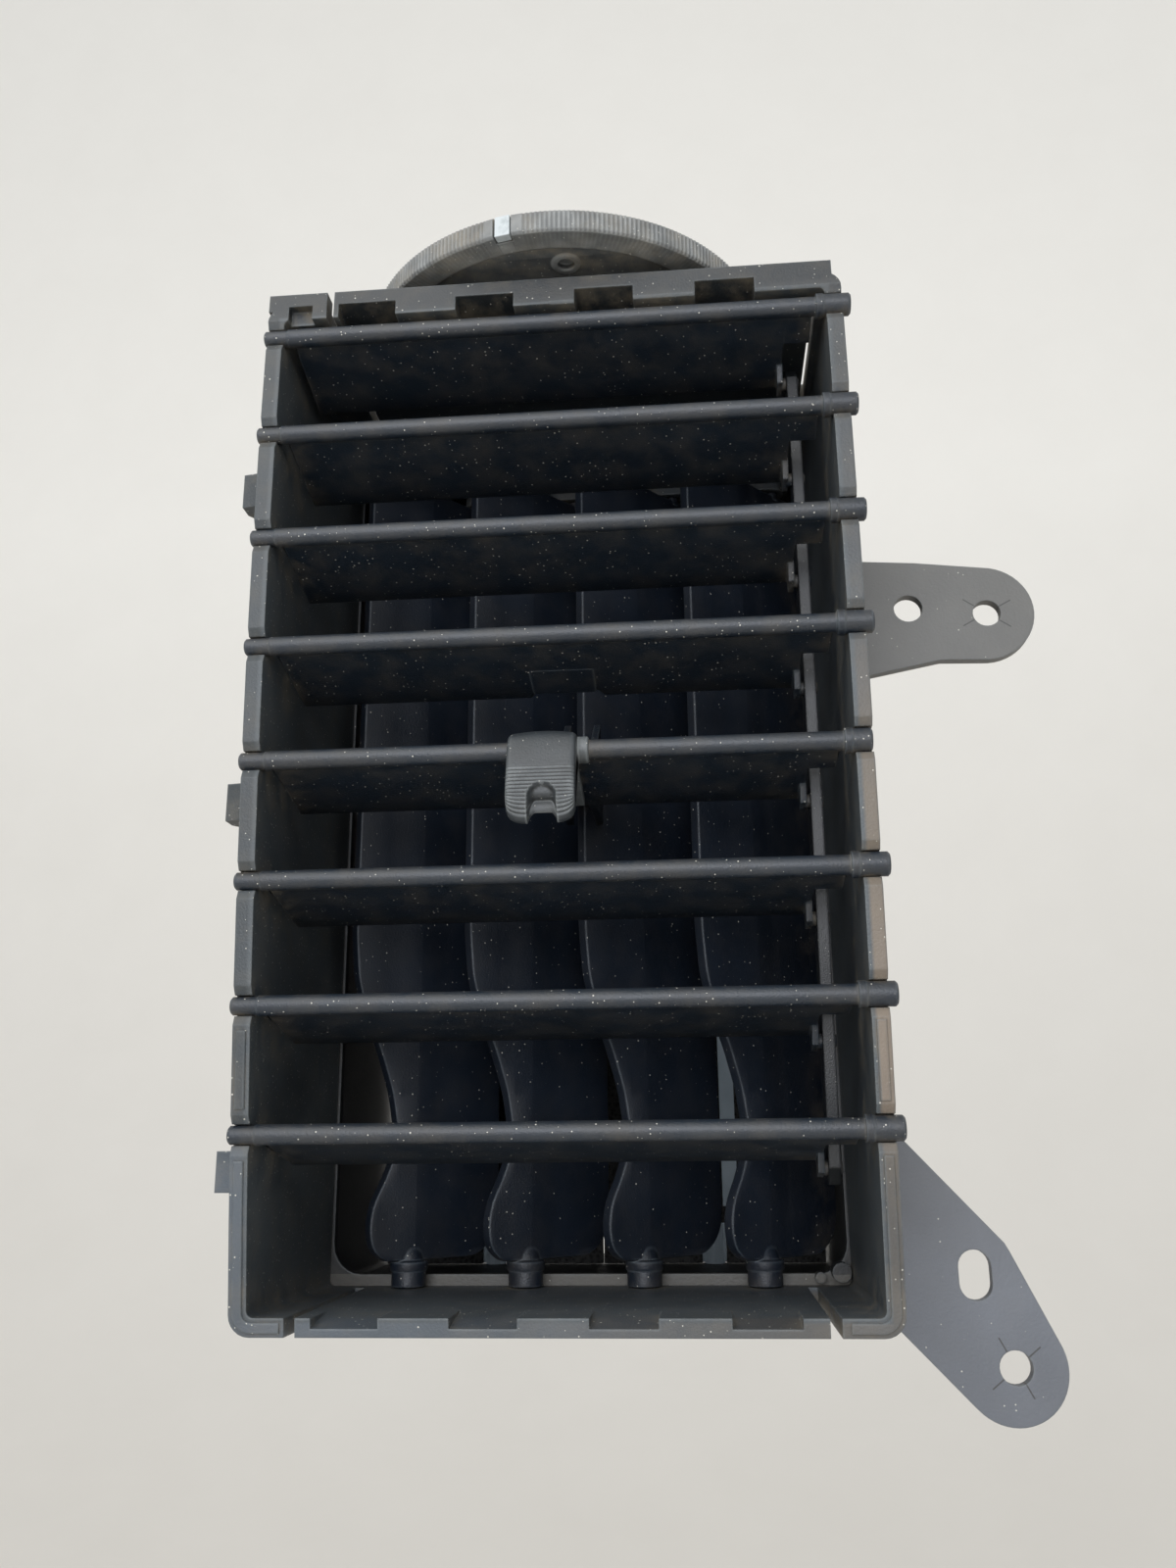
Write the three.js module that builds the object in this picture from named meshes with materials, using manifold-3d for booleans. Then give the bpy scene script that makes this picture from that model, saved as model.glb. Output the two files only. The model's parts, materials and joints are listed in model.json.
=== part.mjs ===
// Dashboard air vent insert: a tall box that blows cabin air through eight tilting louvres and
// four turning vanes, with a finger tab for aiming, a thumbwheel for shutting, and two screw ears.
// Millimetres. +X to the right, +Y into the vent along the air duct, +Z up; the face looks to -Y.
// The working origin is the middle of the bottom louvre's pivot line. The finished group is moved
// so that the row's origin is on the back face of the upper screw ear, between its two holes.
import * as THREE from "three";
import { mergeVertices } from "three/addons/utils/BufferGeometryUtils.js";
import Module from "manifold-3d";

// ---- driving dimensions ----
const CLEARANCE = 0.3; // gap between neighbouring pieces that touch in real life
const RUNNING = 0.15; // radial play of a pin in its hole

// Front shroud: a rounded box, open at both ends, whose front edge follows a gentle arc.
const SHROUD_HALF_WIDTH = 47;
const SHROUD_WALL = 2.6;
const SHROUD_TOP = 133;
const SHROUD_CEILING = 130.2;
const FLOOR_TOP = -24.8;
const FLOOR_BOTTOM = -27.4;
const SHROUD_BACK = 44.5;
const OUTER_CORNER_RADIUS = 3;
const INNER_CORNER_RADIUS = 1;
const FACE_RADIUS = 800;
const FACE_APEX_Y = -6.9;
const FACE_APEX_Z = 105;
const RIM_PROUD = 1.3; // how far the rim stands in front of the louvre pivots
const TOOTH_CHAMFER = 1.3;
const FLAP_SLOT_X = 38.2; // slots that free the springy floor and ceiling flaps
const FLAP_SLOT_WIDTH = 1.6;
const FLAP_SLOT_BACK = 41;
const LIP_TOP = 135.2;
const LIP_DEPTH = 3;
const POCKET_PITCH = 19.6;
const POCKET_WIDTH = 9.6;
const POCKET_DEPTH = 9;
const FLOOR_POCKET_STEP = 1.4;
const LIP_POCKET_STEP = 2.6;
const CLIP_HEIGHTS = [100.5, 48.9, -5.1];
const TONGUE_XS = [-40, 20]; // snap tongues of the rear housing, over lugs on the shroud

// Louvres, numbered from the top.
const LOUVRE_COUNT = 8;
const LOUVRE_PITCH = 18.2;
const LOUVRE_TILT = 14; // degrees, back edge down
const LOUVRE_CHORD = 16.6;
const BAR_RADIUS = 1.5;
const BLADE_LEFT = -42.8;
const BLADE_RIGHT = 42.2;
const LEFT_PIN_RADIUS = 1.35;
const LEFT_PIN_END = -47.6;
const RIGHT_PIN_RADIUS = 1.8;
const RIGHT_PIN_END = 48.3;
const COLLAR_RADIUS = 1.95;
const TAB_LOUVRE = 5;
const NOTCHED_LOUVRE = 4;
const LINK_PIN_S = 14.3;
const LINK_PIN_N = -2;
const LINK_PIN_RADIUS = 1.1;
const CORNER_CUT = [38, 7]; // back right corner left free for the link, from x and from s
const LINK_LEFT = 38.6;
const LINK_RIGHT = 40.4;

// Finger tab and its fork, measured along (s) and square to (n) the chord of the tab's louvre.
const TAB_LEFT = -6.1;
const TAB_RIGHT = 3.9;
const FORK_SLOT = 4;
const FORK_WALL = 1.2;
const FORK_REACH = 38.2;

// Vanes, numbered from the left.
const VANE_COUNT = 4;
const VANE_PITCH = 20;
const VANE_PIVOT_Y = 41.5;
const VANE_TURN = 45; // degrees, front edge to the left
const VANE_THICKNESS = 2;
const VANE_FRONT = -13;
const VANE_BACK = 18;
const VANE_TOP = 124;
const VANE_BOTTOM = -20.5;
const VANE_SHAFT_RADIUS = 2.9;
const VANE_COLLAR_RADIUS = 3.2;
const VANE_PIN_RADIUS = 1.5;
const DRIVEN_VANE = 3;
const NOSE_HEIGHTS = [34, 86]; // where the driven vane's front edge is rounded for the fork
const VANE_LINK_S = 12;
const VANE_LINK_PIN_RADIUS = 1.2;

// Rear housing with its screw ears.
const REAR_FRONT = SHROUD_BACK + CLEARANCE;
const REAR_BACK = 110;
const REAR_HALF_WIDTH = 46.5;
const REAR_TOP = 132.5;
const REAR_BOTTOM = -26.8;
const REAR_WALL = 2;
const LEDGE_THICKNESS = 2.2;
const LEDGE_HALF_WIDTH = 44;
const LEDGE_BOTTOM = -23;
const LEDGE_TOP = 129;
const LEDGE_RADIUS = 5;
const EAR_THICKNESS = 2.2;
const EAR_HOLE_RADIUS = 2.7;
const HOLE_SEGMENTS = 24;
const UPPER_EAR_INNER_HOLE = [62.9, 96.3];
const UPPER_EAR_OUTER_HOLE = [77.5, 94.7];
const UPPER_EAR_END_RADIUS = 9.4;
const LOWER_EAR_SLOT = [64.7, -23.3];
const LOWER_EAR_SLOT_LENGTH = 8;
const LOWER_EAR_HOLE = [70, -37.5];
const LOWER_EAR_END_RADIUS = 8.7;

// Shut-off: thumbwheel, coupler plate and two damper leaves.
const WHEEL_Y = 21;
const WHEEL_RADIUS = 35.5;
const WHEEL_BOTTOM = 139;
const WHEEL_TOP = 143;
const WHEEL_RIM = 4.5;
const MARKER_ANGLE = 11.5; // degrees to the left of the front
const MARKER_WIDTH = 2.6;
const PIP_HOLE = [2.5, -5.3]; // blind hole in the wheel's underside
const DAMPER_X = 22;
const DAMPER_Y = 86;
const DAMPER_HALF_WIDTH = 21.4;
const DAMPER_TOP = 130.2;
const DAMPER_BOTTOM = -24.5;
const DAMPER_THICKNESS = 1.6;
const DAMPER_SEAL_THICKNESS = 1.2;
const SEAL_LIP = 0.15; // foam standing past the leaf at its top and bottom
const SEAL_SPLIT = [24, 27, -14, 22]; // x from, x to, z from, z to
const CRANK_LENGTH = 10;
const CRANK_ANGLE = 135; // degrees from +X at rest
const CRANK_PIN_RADIUS = 1.5;
const CRANK_BOTTOM = 134.4;
const CRANK_TOP = 136.4;
const COUPLER_BOTTOM = 136.9;
const COUPLER_TOP = 138.5;

// ---- solid modelling helpers ----
const wasm = await Module();
wasm.setup();

function solid(geometry) {
  geometry.deleteAttribute("normal");
  geometry.deleteAttribute("uv");
  const merged = mergeVertices(geometry, 1e-4);
  return new wasm.Manifold(
    new wasm.Mesh({
      numProp: 3,
      vertProperties: merged.getAttribute("position").array,
      triVerts: new Uint32Array(merged.index.array),
    }),
  );
}

function geometryOf(body) {
  const mesh = body.getMesh();
  const geometry = new THREE.BufferGeometry();
  geometry.setAttribute("position", new THREE.BufferAttribute(mesh.vertProperties, 3));
  geometry.setIndex(new THREE.BufferAttribute(mesh.triVerts, 1));
  geometry.computeVertexNormals();
  return geometry;
}

const join = (...bodies) => bodies.reduce((all, body) => all.add(body));
const cut = (body, ...tools) => tools.reduce((left, tool) => left.subtract(tool), body);
const radians = THREE.MathUtils.degToRad;

function box(x0, x1, y0, y1, z0, z1) {
  const geometry = new THREE.BoxGeometry(x1 - x0, y1 - y0, z1 - z0);
  geometry.translate((x0 + x1) / 2, (y0 + y1) / 2, (z0 + z1) / 2);
  return solid(geometry);
}

// A cylinder along one axis; centre gives the two other coordinates in X, Y, Z order.
function cylinder(axis, radius, from, to, centre, segments = 12) {
  const geometry = new THREE.CylinderGeometry(radius, radius, to - from, segments);
  const middle = (from + to) / 2;
  if (axis === "x") {
    geometry.rotateZ(-Math.PI / 2);
    geometry.translate(middle, centre[0], centre[1]);
  } else if (axis === "y") {
    geometry.translate(centre[0], middle, centre[1]);
  } else {
    geometry.rotateX(Math.PI / 2);
    geometry.translate(centre[0], centre[1], middle);
  }
  return solid(geometry);
}

const shapeOf = (points) => new THREE.Shape(points.map(([u, v]) => new THREE.Vector2(u, v)));

// A flat outline pushed along one axis: (y, z) outlines along x, (x, z) along y, (x, y) along z.
function prism(outline, axis, from, to, curveSegments = 3) {
  const shape = Array.isArray(outline) ? shapeOf(outline) : outline;
  const geometry = new THREE.ExtrudeGeometry(shape, {
    depth: to - from,
    bevelEnabled: false,
    curveSegments,
  });
  if (axis === "x") {
    geometry.applyMatrix4(new THREE.Matrix4().set(0, 0, 1, from, 1, 0, 0, 0, 0, 1, 0, 0, 0, 0, 0, 1));
  } else if (axis === "y") {
    geometry.rotateX(Math.PI / 2);
    geometry.translate(0, to, 0);
  } else {
    geometry.translate(0, 0, from);
  }
  return solid(geometry);
}

function roundedRectangle(x0, x1, z0, z1, radius) {
  const shape = new THREE.Shape();
  shape.absarc(x1 - radius, z0 + radius, radius, -Math.PI / 2, 0);
  shape.absarc(x1 - radius, z1 - radius, radius, 0, Math.PI / 2);
  shape.absarc(x0 + radius, z1 - radius, radius, Math.PI / 2, Math.PI);
  shape.absarc(x0 + radius, z0 + radius, radius, Math.PI, Math.PI * 1.5);
  return shape;
}

function arcPoints(centre, radius, fromDegrees, toDegrees, steps) {
  return Array.from({ length: steps + 1 }, (_, i) => {
    const angle = radians(fromDegrees + ((toDegrees - fromDegrees) * i) / steps);
    return [centre[0] + radius * Math.cos(angle), centre[1] + radius * Math.sin(angle)];
  });
}

// ---- shared geometry ----
const faceY = (z) => FACE_APEX_Y + (z - FACE_APEX_Z) ** 2 / (2 * FACE_RADIUS);

const louvrePivots = Array.from({ length: LOUVRE_COUNT }, (_, i) => {
  const z = (LOUVRE_COUNT - 1 - i) * LOUVRE_PITCH;
  return [faceY(z), z];
});

// A point at chord distance s and height n above the chord of louvre number i, as [y, z].
function louvrePoint(i, s, n) {
  const [y, z] = louvrePivots[i - 1];
  const tilt = radians(LOUVRE_TILT);
  return [
    y + s * Math.cos(tilt) + n * Math.sin(tilt),
    z - s * Math.sin(tilt) + n * Math.cos(tilt),
  ];
}

const louvreOutline = (i, points) => points.map(([s, n]) => louvrePoint(i, s, n));

const vaneX = (i) => (i - (VANE_COUNT + 1) / 2) * VANE_PITCH;

// A point of a vane at chord distance s from its pivot, at rest, as [x, y].
const vanePoint = (number, s) => [
  vaneX(number) + s * Math.sin(radians(VANE_TURN)),
  VANE_PIVOT_Y + s * Math.cos(radians(VANE_TURN)),
];
const NOSE_S = VANE_FRONT + VANE_THICKNESS / 2;
const FORK_CENTRE_X = vanePoint(DRIVEN_VANE, NOSE_S)[0];

// ---- materials ----
function plastic(name, color, roughness) {
  return new THREE.MeshStandardMaterial({ name, color, roughness, metalness: 0 });
}
const black = plastic("black_plastic", 0x24282b, 0.55);
const louvreBlack = plastic("louvre_plastic", 0x1a1f25, 0.45);
const tabBlack = plastic("tab_plastic", 0x33383c, 0.5);
const wheelGrey = plastic("wheel_plastic", 0x3a3d3e, 0.5);
const white = plastic("marker_paint", 0xdfe6e8, 0.6);
const foam = plastic("foam", 0x2b2b2b, 0.95);
const steel = new THREE.MeshStandardMaterial({
  name: "zinc_steel",
  color: 0xb9bcbe,
  roughness: 0.35,
  metalness: 1,
});

const vent = new THREE.Group();
function add(name, body, material) {
  const mesh = new THREE.Mesh(geometryOf(body), material.clone());
  mesh.name = name;
  vent.add(mesh);
  return mesh;
}

// ---- front shroud ----
// The side outline of the rim: a straight back edge, and a front edge cut into teeth by the
// slots that take the louvre pins. Every slot mouth has chamfered corners.
function rimOutline(slotRadius) {
  const rimY = (z) => faceY(z) - RIM_PROUD;
  const front = [[rimY(LIP_TOP) + 0.1, LIP_TOP + 1]];
  for (const [pivotY, pivotZ] of louvrePivots) {
    const top = pivotZ + slotRadius;
    const bottom = pivotZ - slotRadius;
    front.push([rimY(top + TOOTH_CHAMFER), top + TOOTH_CHAMFER]);
    front.push([rimY(top) + TOOTH_CHAMFER / 2, top]);
    for (let step = 0; step <= 6; step += 1) {
      const angle = Math.PI / 2 - (Math.PI * step) / 6;
      front.push([pivotY + slotRadius * Math.cos(angle), pivotZ + slotRadius * Math.sin(angle)]);
    }
    front.push([rimY(bottom) + TOOTH_CHAMFER / 2, bottom]);
    front.push([rimY(bottom - TOOTH_CHAMFER), bottom - TOOTH_CHAMFER]);
  }
  front.push([rimY(FLOOR_TOP / 2), FLOOR_TOP / 2]);
  front.push([rimY(FLOOR_BOTTOM - 4), FLOOR_BOTTOM - 4]);
  return [...front, [SHROUD_BACK, FLOOR_BOTTOM - 4], [SHROUD_BACK, LIP_TOP + 1]];
}

// A wedge pocket in the floor (side = -1) or ceiling (side = 1), deepest at the front.
function pocket(x, side, wallFace, frontY) {
  const deep = wallFace + side * (side > 0 ? LIP_POCKET_STEP : FLOOR_POCKET_STEP);
  const outline = [
    [frontY - 2, wallFace - side * 2],
    [frontY - 2, deep],
    [frontY + 1, deep],
    [frontY + POCKET_DEPTH, wallFace],
    [frontY + POCKET_DEPTH, wallFace - side * 2],
  ];
  const ordered = side > 0 ? outline.reverse() : outline;
  return prism(ordered, "x", x - POCKET_WIDTH / 2, x + POCKET_WIDTH / 2);
}

function frontShroud() {
  const half = SHROUD_HALF_WIDTH;
  const inner = half - SHROUD_WALL;
  const front = -12;
  const lipFront = faceY(LIP_TOP) - RIM_PROUD;
  let body = prism(
    roundedRectangle(-half, half, FLOOR_BOTTOM, SHROUD_TOP, OUTER_CORNER_RADIUS),
    "y", front, SHROUD_BACK,
  );
  body = cut(body, prism(
    roundedRectangle(-inner, inner, FLOOR_TOP, SHROUD_CEILING, INNER_CORNER_RADIUS),
    "y", front - 1, SHROUD_BACK + 1,
  ));
  const lip = box(-half, half - 1.4, front, lipFront + LIP_DEPTH, SHROUD_TOP - 1, LIP_TOP);
  body = join(body, lip);
  const leftKeep = prism(rimOutline(LEFT_PIN_RADIUS + RUNNING), "x", -half - 1, 0);
  const rightKeep = prism(rimOutline(RIGHT_PIN_RADIUS + RUNNING), "x", 0, half + 1);
  body = body.intersect(join(leftKeep, rightKeep));

  const floorFront = faceY(FLOOR_TOP) - RIM_PROUD;
  const slots = [-FLAP_SLOT_X, FLAP_SLOT_X - 0.6].map((x) =>
    box(x - FLAP_SLOT_WIDTH / 2, x + FLAP_SLOT_WIDTH / 2, front, FLAP_SLOT_BACK, FLOOR_BOTTOM - 1, FLOOR_TOP + 1));
  slots.push(box(-37.2, -36, front, FLAP_SLOT_BACK - 12, SHROUD_CEILING - 1, LIP_TOP + 1));
  slots.push(box(42.6, 43.4, lipFront + LIP_DEPTH + 1, 24, SHROUD_CEILING - 1, SHROUD_TOP + 1));
  const pockets = [];
  for (let i = 0; i < VANE_COUNT; i += 1) {
    const x = (i - (VANE_COUNT - 1) / 2) * POCKET_PITCH - 1;
    pockets.push(pocket(x, -1, FLOOR_TOP, floorFront));
    pockets.push(pocket(x, 1, SHROUD_CEILING, lipFront));
  }
  pockets.push(box(-43.6, -39.6, front, lipFront + 1.6, SHROUD_CEILING - 0.5, SHROUD_CEILING + 2.6));

  // Pivot notches for the vanes, open to the back so that the vanes drop in from behind.
  const notches = [];
  for (let i = 1; i <= VANE_COUNT; i += 1) {
    const x = vaneX(i);
    const r = VANE_PIN_RADIUS + RUNNING;
    for (const [z0, z1] of [[FLOOR_BOTTOM - 1, FLOOR_TOP + 1], [SHROUD_CEILING - 1, SHROUD_TOP + 1]]) {
      notches.push(cylinder("z", r, z0, z1, [x, VANE_PIVOT_Y]));
      notches.push(box(x - r, x + r, VANE_PIVOT_Y, SHROUD_BACK + 1, z0, z1));
    }
  }
  body = cut(body, ...slots, ...pockets, ...notches);

  // Snap clips on the left wall, which hold the dashboard bezel.
  for (const z of CLIP_HEIGHTS) {
    const y = faceY(z) + 1.2;
    const hook = [[-half + 0.5, y + 9], [-half - 3.2, y + 3.4], [-half - 3.2, y + 0.6], [-half + 0.5, y]];
    body = join(body, prism([...hook].reverse(), "z", z - 2.9, z + 2.9));
  }

  // Wheel post with a blind screw hole, and lugs that the rear housing's tongues snap over.
  const post = join(
    cylinder("z", 3.5, SHROUD_TOP - 0.5, WHEEL_BOTTOM - 0.5, [0, WHEEL_Y]),
    cylinder("z", 2.5, WHEEL_BOTTOM - 0.6, WHEEL_TOP + 0.2, [0, WHEEL_Y]),
  );
  body = join(body, post);
  body = cut(body, cylinder("z", 1.3, SHROUD_TOP + 1, WHEEL_TOP + 1, [0, WHEEL_Y]));
  for (const x of TONGUE_XS) {
    body = join(
      body,
      box(x - 1.8, x + 1.8, 38, 40.4, SHROUD_TOP - 0.5, SHROUD_TOP + 1.5),
      box(x - 1.8, x + 1.8, 38, 40.4, FLOOR_BOTTOM - 1.5, FLOOR_BOTTOM + 0.5),
    );
  }
  return body;
}
add("front_shroud", frontShroud(), black);

// ---- rear housing ----
function ear(outline, holes) {
  const plate = prism(outline, "y", REAR_FRONT, REAR_FRONT + EAR_THICKNESS);
  return cut(plate, ...holes);
}

function upperEar() {
  const [x, z] = UPPER_EAR_OUTER_HOLE;
  const root = REAR_HALF_WIDTH - 1;
  const outline = [
    [root, 82.4],
    [53.5, 82.8],
    [68.2, 85.6],
    ...arcPoints([x - 0.6, z], UPPER_EAR_END_RADIUS, -88, 86, 24),
    [64.7, 105.7],
    [root, 107.2],
  ];
  const hole = ([hx, hz], r) =>
    cylinder("y", r, REAR_FRONT - 1, REAR_FRONT + EAR_THICKNESS + 1, [hx, hz], HOLE_SEGMENTS);
  const plate = ear(outline, [
    hole(UPPER_EAR_INNER_HOLE, EAR_HOLE_RADIUS),
    hole(UPPER_EAR_OUTER_HOLE, EAR_HOLE_RADIUS - 0.1),
  ]);
  // The gusset runs back along the housing wall from the ear's lower edge.
  const gusset = prism(
    [[root, REAR_FRONT + 1], [54.5, REAR_FRONT + 1], [root, REAR_FRONT + 18]],
    "z", 81.2, 83.2,
  );
  return join(plate, gusset);
}

function lowerEar() {
  const [x, z] = LOWER_EAR_HOLE;
  const root = REAR_HALF_WIDTH - 1;
  const outline = [
    [root, -26],
    [51.7, -31.8],
    [58.3, -38.6],
    ...arcPoints([x - 0.4, z - 0.2], LOWER_EAR_END_RADIUS, -136, 22, 24),
    [70.6, -19.6],
    [69.9, -18.3],
    [55.1, -2.2],
    [root, 8],
  ];
  const y0 = REAR_FRONT - 1;
  const y1 = REAR_FRONT + EAR_THICKNESS + 1;
  const [slotX, slotZ] = LOWER_EAR_SLOT;
  const reach = LOWER_EAR_SLOT_LENGTH / 2 - EAR_HOLE_RADIUS;
  const slot = join(
    cylinder("y", EAR_HOLE_RADIUS, y0, y1, [slotX, slotZ + reach], HOLE_SEGMENTS),
    cylinder("y", EAR_HOLE_RADIUS, y0, y1, [slotX, slotZ - reach], HOLE_SEGMENTS),
    box(slotX - EAR_HOLE_RADIUS, slotX + EAR_HOLE_RADIUS, y0, y1, slotZ - reach, slotZ + reach),
  );
  const plate = ear(outline, [slot, cylinder("y", EAR_HOLE_RADIUS, y0, y1, [x, z], HOLE_SEGMENTS)]);
  const gusset = prism(
    [[root, REAR_FRONT + 1], [57, REAR_FRONT + 1], [root, REAR_FRONT + 20]],
    "z", -9, -7,
  );
  return join(plate, gusset);
}

function rearHousing() {
  const half = REAR_HALF_WIDTH;
  let body = prism(
    roundedRectangle(-half, half, REAR_BOTTOM, REAR_TOP, OUTER_CORNER_RADIUS),
    "y", REAR_FRONT, REAR_BACK,
  );
  body = cut(
    body,
    prism(
      roundedRectangle(
        -half + REAR_WALL, half - REAR_WALL, REAR_BOTTOM + REAR_WALL, REAR_TOP - REAR_WALL,
        INNER_CORNER_RADIUS,
      ),
      "y", REAR_FRONT + LEDGE_THICKNESS, REAR_BACK + 1,
    ),
    prism(
      roundedRectangle(-LEDGE_HALF_WIDTH, LEDGE_HALF_WIDTH, LEDGE_BOTTOM, LEDGE_TOP, LEDGE_RADIUS),
      "y", REAR_FRONT - 1, REAR_FRONT + LEDGE_THICKNESS + 1,
    ),
  );
  body = join(body, upperEar(), lowerEar());

  // Locating boss and peg that stand forward from the ledge, by the lower right corner.
  body = join(
    body,
    cylinder("y", 1.6, REAR_FRONT - 3.2, REAR_FRONT + 1, [42.6, LEDGE_BOTTOM + 0.4]),
    cylinder("y", 0.9, REAR_FRONT - 2, REAR_FRONT + 1, [39.2, LEDGE_BOTTOM - 0.5]),
  );
  // Snap tongues over the shroud's top and bottom lugs.
  for (const x of TONGUE_XS) {
    const window = [x - 2.2, x + 2.2, 37.4, 41];
    const top = join(
      box(x - 4, x + 4, REAR_FRONT, REAR_FRONT + 6, REAR_TOP - 1, SHROUD_TOP + 2),
      box(x - 4, x + 4, 35, REAR_FRONT + 1, SHROUD_TOP + 0.3, SHROUD_TOP + 2),
    );
    const bottom = join(
      box(x - 4, x + 4, REAR_FRONT, REAR_FRONT + 6, FLOOR_BOTTOM - 2, REAR_BOTTOM + 1),
      box(x - 4, x + 4, 35, REAR_FRONT + 1, FLOOR_BOTTOM - 2, FLOOR_BOTTOM - 0.3),
    );
    body = join(
      body,
      cut(top, box(...window, SHROUD_TOP, SHROUD_TOP + 3)),
      cut(bottom, box(...window, FLOOR_BOTTOM - 3, FLOOR_BOTTOM)),
    );
  }
  // Stiffening ribs round the duct, and raised bearings for the damper shafts.
  for (const y of [62, 92]) {
    const band = cut(
      prism(roundedRectangle(-half - 1.2, half + 1.2, REAR_BOTTOM - 1.2, REAR_TOP + 1.2, 4), "y", y, y + 1.6),
      prism(
        roundedRectangle(-half + 0.5, half - 0.5, REAR_BOTTOM + 0.5, REAR_TOP - 0.5, OUTER_CORNER_RADIUS),
        "y", y - 1, y + 3,
      ),
    );
    body = join(body, band);
  }
  for (const x of [-DAMPER_X, DAMPER_X]) {
    body = join(body, cylinder("z", 4, REAR_TOP - 1, REAR_TOP + 1.4, [x, DAMPER_Y]));
    body = cut(
      body,
      cylinder("z", 2 + RUNNING, REAR_TOP - 4, REAR_TOP + 3, [x, DAMPER_Y]),
      cylinder("z", 2 + RUNNING, REAR_BOTTOM - 1, REAR_BOTTOM + 4, [x, DAMPER_Y]),
    );
  }
  return body;
}
add("rear_housing", rearHousing(), black);

// Foam gasket wound round the back end of the duct.
function ductSeal() {
  const half = REAR_HALF_WIDTH + CLEARANCE;
  const ring = (grow) =>
    roundedRectangle(
      -half - grow, half + grow, REAR_BOTTOM - CLEARANCE - grow, REAR_TOP + CLEARANCE + grow,
      OUTER_CORNER_RADIUS + grow,
    );
  return cut(prism(ring(3), "y", 97, 107), prism(ring(0), "y", 96, 108));
}
add("duct_seal", ductSeal(), foam);

// ---- louvres ----
function louvre(number) {
  const pivot = louvrePivots[number - 1];
  const chord = louvreOutline(number, [
    [0, -0.8],
    [LOUVRE_CHORD - 0.5, -0.5],
    [LOUVRE_CHORD, 0],
    [LOUVRE_CHORD - 0.5, 0.5],
    [0, 0.8],
  ]);
  const rightEnd = number === TAB_LOUVRE ? RIGHT_PIN_END - 1.4 : RIGHT_PIN_END;
  const lug = louvreOutline(number, [
    [LINK_PIN_S - 1.6, LINK_PIN_N - 1.1],
    [LINK_PIN_S + 1.4, LINK_PIN_N - 1.1],
    [LINK_PIN_S + 1.8, 0],
    [LINK_PIN_S - 3.4, 0],
  ]);
  const [cornerX, cornerS] = CORNER_CUT;
  const corner = louvreOutline(number, [[cornerS, -2], [18, -2], [18, 2], [cornerS, 2]]);
  let body = join(
    cut(prism(chord, "x", BLADE_LEFT, BLADE_RIGHT), prism(corner, "x", cornerX, BLADE_RIGHT + 1)),
    cylinder("x", BAR_RADIUS, BLADE_LEFT - 0.8, BLADE_RIGHT + 1, pivot),
    cylinder("x", LEFT_PIN_RADIUS, LEFT_PIN_END, BLADE_LEFT, pivot),
    cylinder("x", COLLAR_RADIUS, BLADE_RIGHT + 0.6, SHROUD_HALF_WIDTH - SHROUD_WALL - 0.4, pivot),
    cylinder("x", RIGHT_PIN_RADIUS, BLADE_RIGHT + 1, rightEnd, pivot),
    prism(lug, "x", cornerX - 0.9, cornerX),
    cylinder("x", LINK_PIN_RADIUS, cornerX - 0.5, LINK_RIGHT + 0.4,
      louvrePoint(number, LINK_PIN_S, LINK_PIN_N)),
  );
  if (number === NOTCHED_LOUVRE) {
    const pad = louvreOutline(number, [[8.4, -1], [15, -0.95], [15, 0], [8, 0]]);
    const notch = louvreOutline(number, [[15.1, -2], [18, -2], [18, 2], [15.1, 2]]);
    body = cut(join(body, prism(pad, "x", -4.7, 5.9)), prism(notch, "x", -4, 6));
  }
  return body;
}
for (let number = 1; number <= LOUVRE_COUNT; number += 1) {
  add(`louvre_${number}`, louvre(number), louvreBlack);
}

// A strip down the right side, in the blades' cut corners, that every link pin passes through.
function louvreLink() {
  const halfWidth = 2.5;
  const pins = louvrePivots.map((_, i) => louvrePoint(i + 1, LINK_PIN_S, LINK_PIN_N));
  const first = pins[0];
  const last = pins[pins.length - 1];
  const front = pins.map(([y, z]) => [y - halfWidth, z]);
  const back = pins.map(([y, z]) => [y + halfWidth, z]).reverse();
  const outline = [
    [first[0], first[1] + halfWidth],
    ...front,
    [last[0], last[1] - halfWidth],
    ...back,
  ];
  const strip = prism(outline, "x", LINK_LEFT, LINK_RIGHT);
  return cut(strip, ...pins.map((pin) =>
    cylinder("x", LINK_PIN_RADIUS + RUNNING, LINK_LEFT - 1, LINK_RIGHT + 1, pin)));
}
add("louvre_link", louvreLink(), black);

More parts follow.
